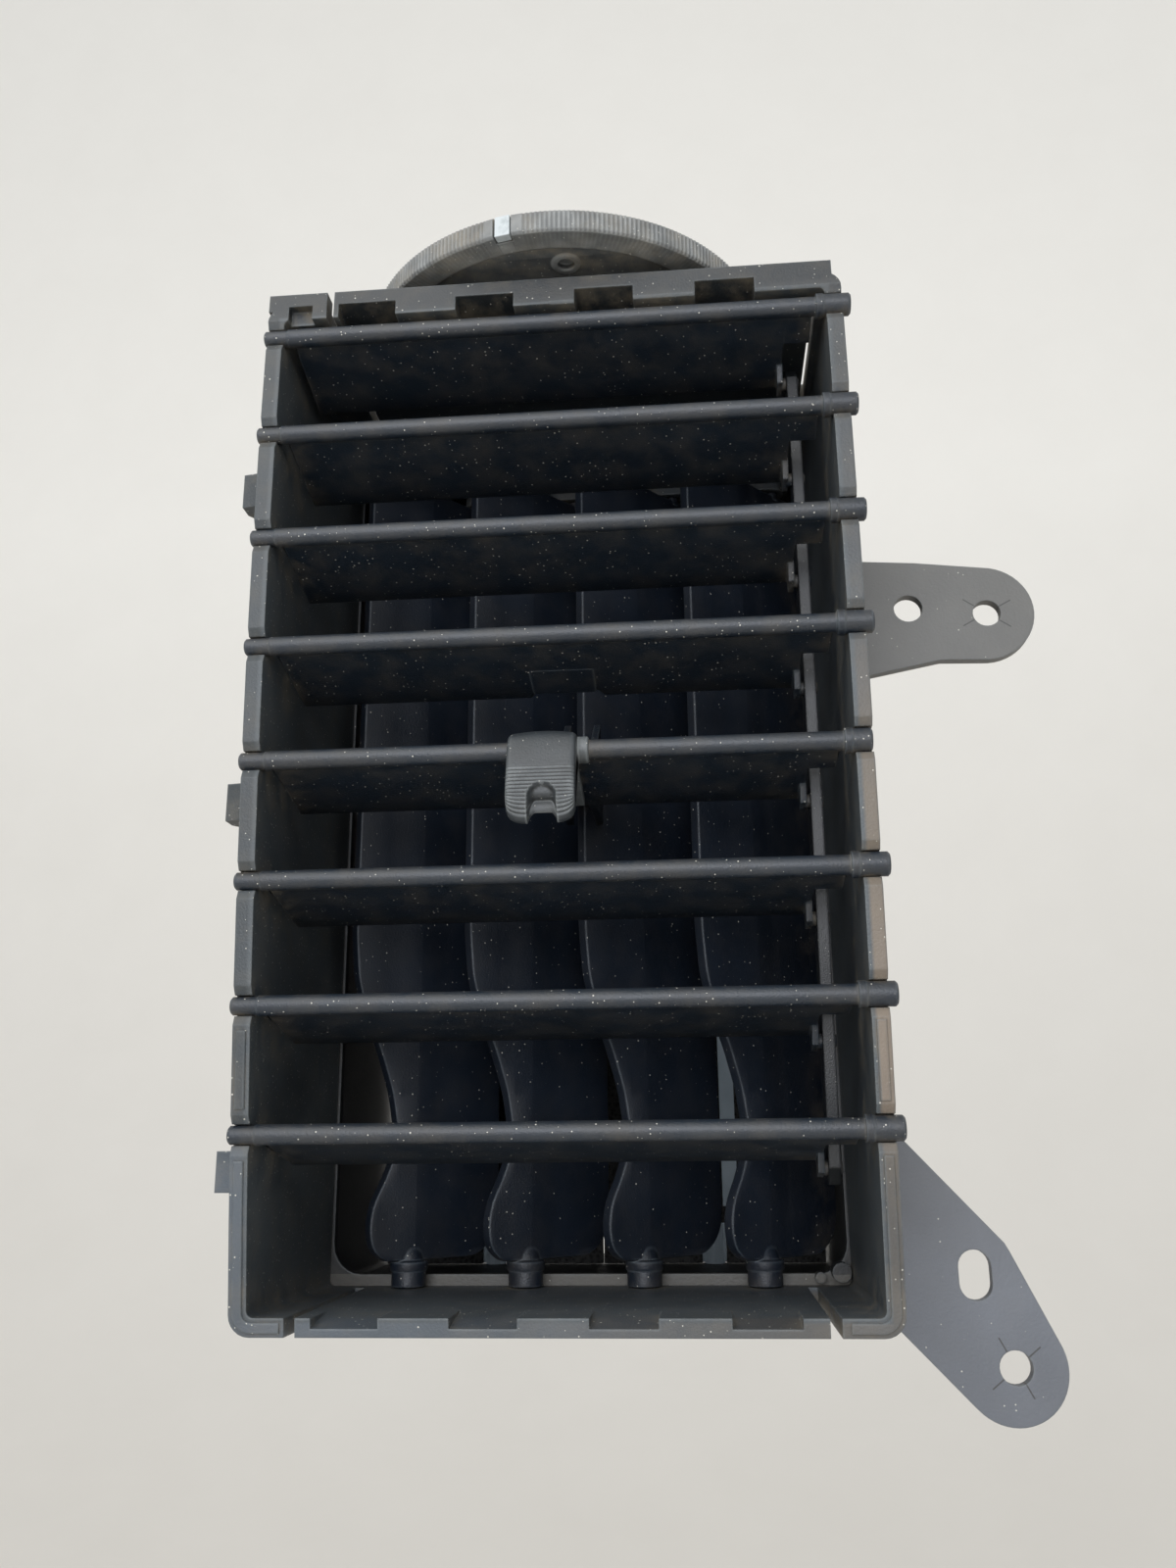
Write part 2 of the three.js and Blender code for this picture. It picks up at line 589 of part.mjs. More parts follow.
// ---- finger tab ----
// The grip is a paddle in front of the bar, with a sleeve that the bar slides through and a
// foot under the blade.
function fingerTab() {
  const pivot = louvrePivots[TAB_LOUVRE - 1];
  const profile = [
    [1.8, 2.5],
    [-0.6, 2.5],
    [-2.1, 2.2],
    [-3.8, 1.1],
    [-4.9, -0.3],
    [-5.3, -2.6],
    [-5.3, -5.6],
    [-5.3, -8.5],
    [-4.9, -11.1],
    [-3.8, -12.9],
    [-2.4, -13.4],
    [-1.6, -12.3],
    [-2.2, -10.2],
    [-2.6, -6.8],
    [-2.2, -4.2],
    [-1.4, -2.9],
    [1.8, -2.5],
  ];
  const foot = [[1.6, -2.5], [13, -2.3], [13, -1.05], [1.6, -1.15]];
  const paddle = prism(louvreOutline(TAB_LOUVRE, profile), "x", TAB_LEFT, TAB_RIGHT);
  const runner = prism(
    louvreOutline(TAB_LOUVRE, foot), "x", FORK_CENTRE_X - 2.8, TAB_RIGHT - 0.2);
  const sleeve = cylinder("x", 2.15, TAB_RIGHT - 1, TAB_RIGHT + 1.6, pivot);
  const bladeSlot = [[0, -1.05], [3, -1.05], [3, 1.05], [0, 1.05]];
  const thumbGroove = [
    [-8, -8.2], [-4.9, -8.2], [-3.9, -9.6], [-3.3, -11.3], [-1, -11.9], [-1, -14.5], [-8, -14.5],
  ];
  return cut(
    join(paddle, runner, sleeve),
    cylinder("x", BAR_RADIUS + RUNNING, TAB_LEFT - 1, TAB_RIGHT + 3, pivot),
    prism(louvreOutline(TAB_LOUVRE, bladeSlot), "x", TAB_LEFT - 1, TAB_RIGHT + 3),
    prism(louvreOutline(TAB_LOUVRE, thumbGroove), "x", -2.9, 0.7),
  );
}
add("finger_tab", fingerTab(), tabBlack);

// The fork clips over the blade behind the tab. Its two cheeks straddle the nose of vane 3 at
// every tilt, because their tips follow an arc about the louvre's pivot.
function tabFork() {
  const centre = FORK_CENTRE_X;
  const inner = FORK_SLOT / 2;
  const outer = inner + FORK_WALL;
  const cheek = [
    [2.4, 1.1],
    [17.1, 1.05],
    [20.5, 2.1],
    [30, 5.2],
    ...arcPoints([0, 0], FORK_REACH, 11, 38, 8),
    [24, 16.4],
    [15.5, 3.4],
    [2.4, 2.5],
  ];
  const bridge = [[17.1, 1.05], [20.5, 2.1], [22, 3.2], [20.5, 6.5], [17.2, 6], [2.4, 2.5], [2.4, 1.1]];
  const tie = [
    ...arcPoints([0, 0], 30.5, 18, 34, 4),
    ...arcPoints([0, 0], 32.6, 34, 18, 4),
  ].reverse();
  const plate = louvreOutline(TAB_LOUVRE, cheek);
  const left = prism(plate, "x", centre - outer, centre - inner);
  const right = prism(plate, "x", centre + inner, centre + outer);
  const overlap = 0.2;
  return join(
    left,
    right,
    prism(louvreOutline(TAB_LOUVRE, bridge), "x", centre - inner - overlap, centre + inner + overlap),
    prism(louvreOutline(TAB_LOUVRE, tie), "x", centre - inner - overlap, centre + inner + overlap),
  );
}
add("tab_fork", tabFork(), black);

// ---- vanes ----
// The outline is drawn in chord distance s and height z. The front edge is straight above and
// sweeps back in an S towards the floor. It is extruded square, then turned about the pivot.
function vaneOutline() {
  const shape = new THREE.Shape();
  const corner = 4;
  shape.moveTo(VANE_FRONT, VANE_TOP - corner);
  shape.lineTo(VANE_FRONT, 34);
  shape.splineThru([
    [-12.2, 26], [-10.2, 20], [-7.2, 14], [-4.6, 7], [-3.4, -1],
    [-5.2, -7], [-7.4, -11], [-8.4, -15], [-7.6, -18.4],
  ].map(([s, z]) => new THREE.Vector2(s, z)));
  shape.lineTo(-4.4, VANE_BOTTOM);
  shape.lineTo(VANE_BACK - corner - 3, VANE_BOTTOM);
  shape.quadraticCurveTo(VANE_BACK, VANE_BOTTOM, VANE_BACK, VANE_BOTTOM + corner + 3);
  shape.lineTo(VANE_BACK, VANE_TOP - corner);
  shape.quadraticCurveTo(VANE_BACK, VANE_TOP, VANE_BACK - corner, VANE_TOP);
  shape.lineTo(VANE_FRONT + corner, VANE_TOP);
  shape.quadraticCurveTo(VANE_FRONT, VANE_TOP, VANE_FRONT, VANE_TOP - corner);
  return shape;
}

// Built along +Y with the pivot on the Z axis.
function vaneBody(number) {
  const half = VANE_THICKNESS / 2;
  const quarterTurn = new THREE.Matrix4().makeRotationZ(Math.PI / 2);
  const plateGeometry = new THREE.ExtrudeGeometry(vaneOutline(), {
    depth: VANE_THICKNESS,
    bevelEnabled: false,
    curveSegments: 3,
  });
  plateGeometry.rotateX(Math.PI / 2);
  plateGeometry.translate(0, half, 0);
  plateGeometry.applyMatrix4(quarterTurn);
  let body = join(
    solid(plateGeometry),
    cylinder("z", 1.7, VANE_BOTTOM, VANE_TOP, [0, 0]),
    cylinder("z", VANE_SHAFT_RADIUS, FLOOR_TOP + 0.3, VANE_BOTTOM + 2, [0, 0]),
    cylinder("z", VANE_COLLAR_RADIUS, VANE_BOTTOM - 1.6, VANE_BOTTOM, [0, 0]),
    cylinder("z", VANE_PIN_RADIUS, FLOOR_BOTTOM + 0.2, FLOOR_TOP + 1, [0, 0]),
    cylinder("z", VANE_SHAFT_RADIUS, VANE_TOP - 1, SHROUD_CEILING - 0.3, [0, 0]),
    cylinder("z", VANE_PIN_RADIUS, VANE_TOP, SHROUD_TOP - 0.2, [0, 0]),
    cylinder("z", VANE_LINK_PIN_RADIUS, VANE_TOP - 2, VANE_TOP + 3, [0, VANE_LINK_S]),
  );
  if (number === DRIVEN_VANE) {
    // Rounded nose for the fork, flush with the front edge.
    const [z0, z1] = NOSE_HEIGHTS;
    body = cut(body, box(-2, 2, VANE_FRONT - 1, NOSE_S, z0, z1));
    body = join(body, cylinder("z", half, z0, z1, [0, NOSE_S]));
  }
  return body;
}
for (let number = 1; number <= VANE_COUNT; number += 1) {
  const mesh = add(`vane_${number}`, vaneBody(number), louvreBlack);
  mesh.position.set(vaneX(number), VANE_PIVOT_Y, 0);
  mesh.rotation.z = radians(-VANE_TURN);
}

// Bar over the tops of the vanes that keeps them parallel.
function vaneLink() {
  const first = vanePoint(1, VANE_LINK_S);
  const last = vanePoint(VANE_COUNT, VANE_LINK_S);
  const halfWidth = 2.6;
  const outline = [
    ...arcPoints(first, halfWidth, 90, 270, 6),
    ...arcPoints(last, halfWidth, -90, 90, 6),
  ];
  const z0 = VANE_TOP + 0.5;
  const z1 = VANE_TOP + 2.5;
  const holes = Array.from({ length: VANE_COUNT }, (_, i) =>
    cylinder("z", VANE_LINK_PIN_RADIUS + RUNNING, z0 - 1, z1 + 1, vanePoint(i + 1, VANE_LINK_S)));
  return cut(prism(outline, "z", z0, z1), ...holes);
}
add("vane_link", vaneLink(), black);

// ---- thumbwheel ----
const crankVector = [
  CRANK_LENGTH * Math.cos(radians(CRANK_ANGLE)),
  CRANK_LENGTH * Math.sin(radians(CRANK_ANGLE)),
];
const crankPin = ([x, y]) => [x + crankVector[0], y + crankVector[1]];
const wheelCentre = [0, WHEEL_Y];

// A point on a circle about the wheel's centre, at an angle to the left of straight ahead.
const wheelPoint = (radius, angle) => [
  -radius * Math.sin(radians(angle)),
  WHEEL_Y - radius * Math.cos(radians(angle)),
];

// A radial block through the rim at the marker, of a given width and reach.
function markerBlock(width, innerRadius, outerRadius, z0, z1) {
  const side = (width / 2 / WHEEL_RADIUS) * (180 / Math.PI);
  const outline = [
    wheelPoint(innerRadius, MARKER_ANGLE + side),
    wheelPoint(outerRadius, MARKER_ANGLE + side),
    wheelPoint(outerRadius, MARKER_ANGLE - side),
    wheelPoint(innerRadius, MARKER_ANGLE - side),
  ];
  return prism(outline, "z", z0, z1);
}

function thumbwheel() {
  const rimInner = WHEEL_RADIUS - WHEEL_RIM;
  const disc = (radius, z0, z1, segments) => cylinder("z", radius, z0, z1, wheelCentre, segments);
  const body = join(
    cut(disc(WHEEL_RADIUS, WHEEL_BOTTOM, WHEEL_TOP, 48), disc(rimInner, WHEEL_BOTTOM - 1, WHEEL_TOP + 1, 32)),
    disc(rimInner + 0.5, WHEEL_BOTTOM + 0.6, WHEEL_BOTTOM + 2.2, 32),
    disc(6.4, WHEEL_BOTTOM - 0.2, WHEEL_TOP, 20),
    cylinder("z", CRANK_PIN_RADIUS, COUPLER_BOTTOM - 0.3, WHEEL_BOTTOM + 1, crankPin(wheelCentre)),
  );
  return cut(
    body,
    disc(2.5 + RUNNING, WHEEL_BOTTOM - 1, WHEEL_TOP + 1, 12),
    cylinder("z", 1.5, WHEEL_BOTTOM - 1, WHEEL_BOTTOM + 1.6, PIP_HOLE),
    markerBlock(MARKER_WIDTH + 0.6, WHEEL_RADIUS - 1.9, WHEEL_RADIUS + 1, WHEEL_BOTTOM - 1, WHEEL_TOP + 1),
  );
}
add("thumbwheel", thumbwheel(), wheelGrey);
add(
  "wheel_marker",
  markerBlock(MARKER_WIDTH, WHEEL_RADIUS - 1.6, WHEEL_RADIUS - 0.05, WHEEL_BOTTOM + 0.1, WHEEL_TOP - 0.1),
  white,
);

function wheelScrew() {
  const head = join(
    cylinder("z", 4.2, WHEEL_TOP + 0.4, WHEEL_TOP + 2.2, wheelCentre, 16),
    cylinder("z", 1.1, SHROUD_TOP + 1.4, WHEEL_TOP + 1, wheelCentre),
  );
  const [x, y] = wheelCentre;
  const recess = join(
    box(x - 2, x + 2, y - 0.4, y + 0.4, WHEEL_TOP + 1.2, WHEEL_TOP + 3),
    box(x - 0.4, x + 0.4, y - 2, y + 2, WHEEL_TOP + 1.2, WHEEL_TOP + 3),
  );
  return cut(head, recess);
}
add("wheel_screw", wheelScrew(), steel);

// ---- damper ----
// Two leaves side by side, each on its own upright shaft, shown shut: square across the duct.
function damperLeaf(side) {
  const x = side * DAMPER_X;
  const half = DAMPER_THICKNESS / 2;
  const hubReach = 7;
  const shaft = (z0, z1) => cylinder("z", 2, z0, z1, [x, DAMPER_Y]);
  const plate = box(
    x - DAMPER_HALF_WIDTH, x + DAMPER_HALF_WIDTH, DAMPER_Y - half, DAMPER_Y + half,
    DAMPER_BOTTOM, DAMPER_TOP,
  );
  return join(
    plate,
    shaft(REAR_BOTTOM - 0.4, DAMPER_BOTTOM + hubReach),
    shaft(DAMPER_TOP - hubReach, CRANK_TOP),
  );
}

// An upright split in the right leaf's facing, which leaves a strip of the leaf bare.
function sealSplit() {
  const [x0, x1, z0, z1] = SEAL_SPLIT;
  return box(x0, x1, DAMPER_Y - 4, DAMPER_Y + 4, z0, z1);
}

// Foam facing on the front of the leaf, notched round the shaft's ends.
function damperSeal(side) {
  const x = side * DAMPER_X;
  const face = DAMPER_Y - DAMPER_THICKNESS / 2;
  const hubReach = 7.4;
  const outer = side * (DAMPER_X + DAMPER_HALF_WIDTH + 0.4);
  const inner = side * 0.1;
  const sheet = box(
    Math.min(outer, inner), Math.max(outer, inner), face - DAMPER_SEAL_THICKNESS, face,
    DAMPER_BOTTOM - SEAL_LIP, DAMPER_TOP + SEAL_LIP,
  );
  const notch = (z0, z1) => box(x - 2.4, x + 2.4, face - 3, face + 1, z0, z1);
  return cut(
    side > 0 ? cut(sheet, sealSplit()) : sheet,
    notch(DAMPER_BOTTOM - 2, DAMPER_BOTTOM + hubReach),
    notch(DAMPER_TOP - hubReach, DAMPER_TOP + 2),
  );
}

// A flat outline round two circles, such as a crank arm's.
function armOutline(from, to, fromRadius, toRadius) {
  const heading = THREE.MathUtils.radToDeg(Math.atan2(to[1] - from[1], to[0] - from[0]));
  return [
    ...arcPoints(from, fromRadius, heading + 90, heading + 270, 6),
    ...arcPoints(to, toRadius, heading - 90, heading + 90, 6),
  ];
}

function damperCrank(side) {
  const hub = [side * DAMPER_X, DAMPER_Y];
  const pin = crankPin(hub);
  return cut(
    join(
      prism(armOutline(hub, pin, 4, 3), "z", CRANK_BOTTOM, CRANK_TOP),
      cylinder("z", CRANK_PIN_RADIUS, CRANK_BOTTOM + 0.5, COUPLER_TOP + 0.3, pin),
    ),
    cylinder("z", 2.1, CRANK_BOTTOM - 1, CRANK_TOP + 1, hub),
  );
}

for (const [name, side] of [["left", -1], ["right", 1]]) {
  add(`damper_leaf_${name}`, damperLeaf(side), black);
  add(`damper_seal_${name}`, damperSeal(side), foam);
  add(`damper_crank_${name}`, damperCrank(side), black);
}

// One plate joins the wheel's crank pin to both damper cranks, so all three turn alike.
function couplerPlate() {
  const wheelPin = crankPin(wheelCentre);
  const leftPin = crankPin([-DAMPER_X, DAMPER_Y]);
  const rightPin = crankPin([DAMPER_X, DAMPER_Y]);
  const junction = [wheelPin[0], DAMPER_Y + crankVector[1]];
  const strip = (from, to) => prism(armOutline(from, to, 3, 3), "z", COUPLER_BOTTOM, COUPLER_TOP);
  const holes = [wheelPin, leftPin, rightPin].map((pin) =>
    cylinder("z", CRANK_PIN_RADIUS + RUNNING, COUPLER_BOTTOM - 1, COUPLER_TOP + 1, pin));
  return cut(join(strip(wheelPin, junction), strip(leftPin, rightPin)), ...holes);
}
add("coupler_plate", couplerPlate(), black);

// ---- row frame ----
// The origin goes to the back face of the upper ear, midway between its two holes.
const earMount = new THREE.Vector3(
  (UPPER_EAR_INNER_HOLE[0] + UPPER_EAR_OUTER_HOLE[0]) / 2,
  REAR_FRONT + EAR_THICKNESS,
  (UPPER_EAR_INNER_HOLE[1] + UPPER_EAR_OUTER_HOLE[1]) / 2,
);
vent.position.copy(earMount).negate();

export default vent;
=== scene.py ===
import json
import math

import bmesh
import bpy
import numpy as np
from mathutils import Matrix, Vector


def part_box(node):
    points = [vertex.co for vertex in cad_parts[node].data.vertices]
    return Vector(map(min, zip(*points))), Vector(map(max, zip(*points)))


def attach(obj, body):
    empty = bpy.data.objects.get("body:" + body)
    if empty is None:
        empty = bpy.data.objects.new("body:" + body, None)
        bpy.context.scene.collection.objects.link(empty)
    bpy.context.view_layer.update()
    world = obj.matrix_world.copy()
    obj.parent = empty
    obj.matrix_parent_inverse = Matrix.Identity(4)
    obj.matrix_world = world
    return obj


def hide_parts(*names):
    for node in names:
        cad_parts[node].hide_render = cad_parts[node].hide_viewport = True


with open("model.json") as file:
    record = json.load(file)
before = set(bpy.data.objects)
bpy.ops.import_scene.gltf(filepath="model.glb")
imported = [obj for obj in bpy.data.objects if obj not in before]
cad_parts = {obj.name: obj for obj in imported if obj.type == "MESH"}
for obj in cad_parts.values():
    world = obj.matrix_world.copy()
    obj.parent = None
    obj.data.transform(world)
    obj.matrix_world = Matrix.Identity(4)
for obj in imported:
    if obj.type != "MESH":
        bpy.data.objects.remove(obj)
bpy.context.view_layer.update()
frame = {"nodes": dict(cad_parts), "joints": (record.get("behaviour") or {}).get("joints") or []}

# Camera, light and table ------------------------------------------------------------------
# The vent is looked at from below its middle, a little from the right, with a short lens.
# It hangs in front of a matt, warm white sweep under broad, soft light from above and the left.

view = bpy.data.objects.new("camera", bpy.data.cameras.new("camera"))
view.data.lens = 29.25
view.data.sensor_width = 36
view.data.clip_start = 0.01
turn = Vector((15.708, 1.245, 4.844))
view.matrix_world = (
    Matrix.Translation((-0.04983, -0.23235, -0.09709))
    @ Matrix.Rotation(math.radians(turn.length), 4, turn.normalized())
    @ Matrix.Rotation(math.radians(90), 4, "X")
)
bpy.context.scene.collection.objects.link(view)
bpy.context.scene.camera = view
bpy.context.scene.view_settings.view_transform = "Standard"


def linear(code):
    """An sRGB hex colour such as '8a8f94' as linear red, green, blue and alpha."""
    c = np.array([int(code[i:i + 2], 16) for i in (0, 2, 4)]) / 255
    c = np.where(c <= 0.04045, c / 12.92, ((c + 0.055) / 1.055) ** 2.4)
    return (*c.tolist(), 1.0)


def add_node(tree, kind, settings=None, **inputs):
    """Adds a node. An input is a plain value, or (node, output name) to link. A socket is given by its
    name, with _ for a space, or as n and its number."""
    made = tree.nodes.new(kind)
    for key, value in (settings or {}).items():
        setattr(made, key, value)
    for key, value in inputs.items():
        numbered = key[0] == "n" and key[1:].isdigit()
        socket = made.inputs[int(key[1:]) if numbered else key.replace("_", " ")]
        if isinstance(value, tuple) and isinstance(value[0], bpy.types.Node):
            tree.links.new(value[0].outputs[value[1]], socket)
        else:
            socket.default_value = value
    return made


def new_material(name):
    """An empty node material with its output node; returns the material, its tree and the output."""
    made = bpy.data.materials.new(name)
    made.use_nodes = True
    made.node_tree.nodes.clear()
    return made, made.node_tree, made.node_tree.nodes.new("ShaderNodeOutputMaterial")


world = bpy.data.worlds.new("soft room light")
world.use_nodes = True
world.node_tree.nodes["Background"].inputs["Color"].default_value = linear("f3f3f1")
world.node_tree.nodes["Background"].inputs["Strength"].default_value = 0.82
bpy.context.scene.world = world

aim = Vector((-0.06, 0, -0.03))
for name, place, size, power, colour in [
    ("ceiling panel", (-0.55, -0.95, 0.95), 1.1, 8, "fffdf8"),
    ("window", (-0.15, -1.25, 0.2), 0.8, 11, "f4f7ff"),
]:
    lamp = bpy.data.objects.new(name, bpy.data.lights.new(name, "AREA"))
    lamp.data.size = size
    lamp.data.energy = power
    lamp.data.color = linear(colour)[:3]
    lamp.location = place
    lamp.rotation_euler = (aim - lamp.location).to_track_quat("-Z", "Y").to_euler()
    bpy.context.scene.collection.objects.link(lamp)


def sweep_points(u, v):
    """Floor, quarter-round and wall in one sheet: u runs across, v is the length along the profile."""
    start, floor = -2.6, -0.45
    bend, flat = 0.8, 3.4
    a = np.clip((v - flat) / bend, 0, math.pi / 2)
    along = np.minimum(v, flat) + start + bend * np.sin(a)
    up = bend * (1 - np.cos(a)) + np.maximum(v - flat - bend * math.pi / 2, 0)
    return np.stack([u, along, up + floor], -1)


def grid_quads(rows, columns, wrap_rows=False, wrap_columns=False):
    """Index quads of a rows x columns grid; a wrapped side also joins its last line to its first."""
    r = np.arange(rows if wrap_rows else rows - 1)[:, None]
    c = np.arange(columns if wrap_columns else columns - 1)[None, :]
    r1, c1 = (r + 1) % rows, (c + 1) % columns
    corners = [r * columns + c, r * columns + c1, r1 * columns + c1, r1 * columns + c]
    return np.stack(corners, -1).reshape(-1, 4)


table = bpy.data.meshes.new("table")
uu, vv = np.meshgrid(np.linspace(-3, 3, 13), np.linspace(0, 7.5, 61))
table.from_pydata(sweep_points(uu, vv).reshape(-1, 3).tolist(), [], grid_quads(61, 13).tolist())
table.polygons.foreach_set("use_smooth", [True] * len(table.polygons))
table_object = bpy.data.objects.new("table", table)
bpy.context.scene.collection.objects.link(table_object)

# Painted board: matt warm white with faint scuffs a few centimetres across, and a painted light gradient:
# darker on the floor, brighter up the wall.
board, tree, out = new_material("painted board, matt white")
place = add_node(tree, "ShaderNodeTexCoord")
scuff = add_node(tree, "ShaderNodeTexNoise", Vector=(place, "Object"), Scale=9.0, Detail=5.0, Roughness=0.6)
rise = add_node(tree, "ShaderNodeSeparateXYZ", Vector=(place, "Object"))
up = add_node(
    tree, "ShaderNodeMapRange", Value=(rise, "Z"), From_Min=-0.45, From_Max=0.9, To_Min=0.0, To_Max=0.85)
scuff_and_light_gradient = add_node(
    tree, "ShaderNodeMath", {"operation": "MULTIPLY_ADD"}, n0=(scuff, "Fac"), n1=0.15, n2=(up, "Result"))
tint = add_node(tree, "ShaderNodeValToRGB", Fac=(scuff_and_light_gradient, "Value"))
tint.color_ramp.elements[0].position, tint.color_ramp.elements[0].color = 0.0, linear("d6d3ce")
tint.color_ramp.elements[1].position, tint.color_ramp.elements[1].color = 1.0, linear("fbfaf7")
matt = add_node(tree, "ShaderNodeBsdfPrincipled", Base_Color=(tint, "Color"), Roughness=0.85)
matt.inputs["Specular IOR Level"].default_value = 0.2
tree.links.new(matt.outputs["BSDF"], out.inputs["Surface"])
table.materials.append(board)

# Front shroud -----------------------------------------------------------------------------
# The box that carries the louvres: one injection moulding in black ABS, its open edge cut into
# teeth so that the louvre pins snap in from the front. Dust lies in its corners.

SHROUD_EDGE = 0.28
RIM_BOTTOM, RIM_TOP = -27.4, 135.2
joints = {joint["name"]: joint for joint in frame["joints"]}
# The place of the bottom louvre's pivot, in millimetres: every size below is measured from it.
datum = np.array(joints["louvre_8_tilt"]["pos_m"]) * 1000 - [0, -0.009, 0]


def moulded_plastic(name, colour, edge, film, shine, grain_mm, speck_mm, specks, dust, tint_mm=14, crest=0.0):
    """Moulded thermoplastic with wear, dust and painted highlights on edges and crests.

    colour: the plastic; edge: paler colour of rubbed edges, also a painted highlight on them; film: dust;
    shine: roughness; grain_mm: mould grain spacing; speck_mm: spacing of dust grains; specks: how many
    show, 0 to 1; dust: film in corners; crest: how pale the crests of finely meshed curves are painted,
    for rubbing and as painted highlight.
    """
    made, tree, out = new_material(name)
    place = add_node(tree, "ShaderNodeTexCoord")
    spot = (place, "Object")
    # Slow change of tone over a couple of centimetres, as on any handled moulding.
    cloud = add_node(tree, "ShaderNodeTexNoise", Vector=spot, Scale=1000 / tint_mm, Detail=4.0)
    tone = add_node(
        tree, "ShaderNodeMapRange", Value=(cloud, "Fac"), From_Min=0.25, From_Max=0.75, To_Min=0.82,
        To_Max=1.18)
    shade = add_node(
        tree, "ShaderNodeVectorMath", {"operation": "SCALE", "name": "tone"}, n0=linear(colour)[:3],
        Scale=(tone, "Result"))
    # Rubbed edges and painted edge highlight: where the rounded-over normal leaves the flat one, the colour is
    # made paler, for burnished plastic and for the light that rounded edges catch.
    round_over = add_node(tree, "ShaderNodeBevel", {"samples": 4}, Radius=0.0005)
    flat = add_node(tree, "ShaderNodeNewGeometry")
    facing = add_node(
        tree, "ShaderNodeVectorMath", {"operation": "DOT_PRODUCT"}, n0=(round_over, "Normal"),
        n1=(flat, "Normal"))
    rubbed_and_highlit = add_node(
        tree, "ShaderNodeMapRange", Value=(facing, "Value"), From_Min=0.995, From_Max=0.8, To_Min=0.0,
        To_Max=1.0)
    # Painted highlight and rubbing on crests: convex, finely meshed curves, found by pointiness, are made
    # paler by crest.
    bulge = add_node(
        tree, "ShaderNodeMapRange", Value=(flat, "Pointiness"), From_Min=0.51, From_Max=0.6, To_Min=0.0,
        To_Max=crest)
    rubbed_and_highlit = add_node(
        tree, "ShaderNodeMath", {"operation": "ADD", "use_clamp": True}, n0=(rubbed_and_highlit, "Result"),
        n1=(bulge, "Result"))
    patchy = add_node(tree, "ShaderNodeTexNoise", Vector=spot, Scale=1000 / 3.0, Detail=3.0)
    worn = add_node(
        tree, "ShaderNodeMath", {"operation": "MULTIPLY"}, n0=(rubbed_and_highlit, "Value"), n1=(patchy, "Fac"))
    edge_wear_and_highlight = add_node(tree, "ShaderNodeMix", {"data_type": "RGBA"}, Factor=(worn, "Value"))
    tree.links.new(shade.outputs["Vector"], edge_wear_and_highlight.inputs[6])
    edge_wear_and_highlight.inputs[7].default_value = linear(edge)
    # Dust film: thickest in corners, broken up by noise about 5 mm across.
    corner = add_node(tree, "ShaderNodeAmbientOcclusion", {"samples": 4, "only_local": False}, Distance=0.006)
    drift = add_node(tree, "ShaderNodeTexNoise", Vector=spot, Scale=1000 / 5.0, Detail=6.0, Roughness=0.65)
    hidden = add_node(
        tree, "ShaderNodeMapRange", Value=(corner, "AO"), From_Min=0.95, From_Max=0.35, To_Min=0.15,
        To_Max=1.0)
    heap = add_node(
        tree, "ShaderNodeMapRange", Value=(drift, "Fac"), From_Min=0.42, From_Max=0.72, To_Min=0.0,
        To_Max=dust)
    lying = add_node(
        tree, "ShaderNodeMath", {"operation": "MULTIPLY"}, n0=(hidden, "Result"), n1=(heap, "Result"))
    dusty = add_node(tree, "ShaderNodeMix", {"data_type": "RGBA"}, Factor=(lying, "Value"))
    tree.links.new(edge_wear_and_highlight.outputs[2], dusty.inputs[6])
    dusty.inputs[7].default_value = linear(film)
    # Separate pale grains, each in its own cell, sized by the cell's random value.
    cell = add_node(tree, "ShaderNodeTexVoronoi", Vector=spot, Scale=1000 / speck_mm, Randomness=1.0)
    lot = add_node(tree, "ShaderNodeSeparateColor", Color=(cell, "Color"))
    bulk = add_node(
        tree, "ShaderNodeMapRange", Value=(lot, "Red"), From_Min=1 - specks, From_Max=1.0, To_Min=0.03,
        To_Max=0.15)
    grain_on = add_node(
        tree, "ShaderNodeMath", {"operation": "LESS_THAN"}, n0=(cell, "Distance"), n1=(bulk, "Result"))
    part = add_node(tree, "ShaderNodeMath", {"operation": "MULTIPLY"}, n0=(grain_on, "Value"), n1=0.8)
    speckled = add_node(tree, "ShaderNodeMix", {"data_type": "RGBA"}, Factor=(part, "Value"))
    tree.links.new(dusty.outputs[2], speckled.inputs[6])
    speckled.inputs[7].default_value = linear("c6c4ba")
    # Mould grain, and the dust standing on it, as relief.
    pebble = add_node(tree, "ShaderNodeTexNoise", Vector=spot, Scale=1000 / grain_mm, Detail=2.0)
    relief = add_node(tree, "ShaderNodeMath", {"operation": "ADD"}, n0=(pebble, "Fac"), n1=(part, "Value"))
    bump = add_node(
        tree, "ShaderNodeBump", Strength=0.7, Distance=0.00008, Height=(relief, "Value"),
        Normal=(round_over, "Normal"))
    rough = add_node(
        tree, "ShaderNodeMapRange", Value=(lying, "Value"), From_Min=0.0, From_Max=0.6, To_Min=shine,
        To_Max=0.9)
    surface = add_node(
        tree, "ShaderNodeBsdfPrincipled", Base_Color=(speckled, 2), Roughness=(rough, "Result"),
        Normal=(bump, "Normal"), IOR=1.53)
    tree.links.new(surface.outputs["BSDF"], out.inputs["Surface"])
    return made


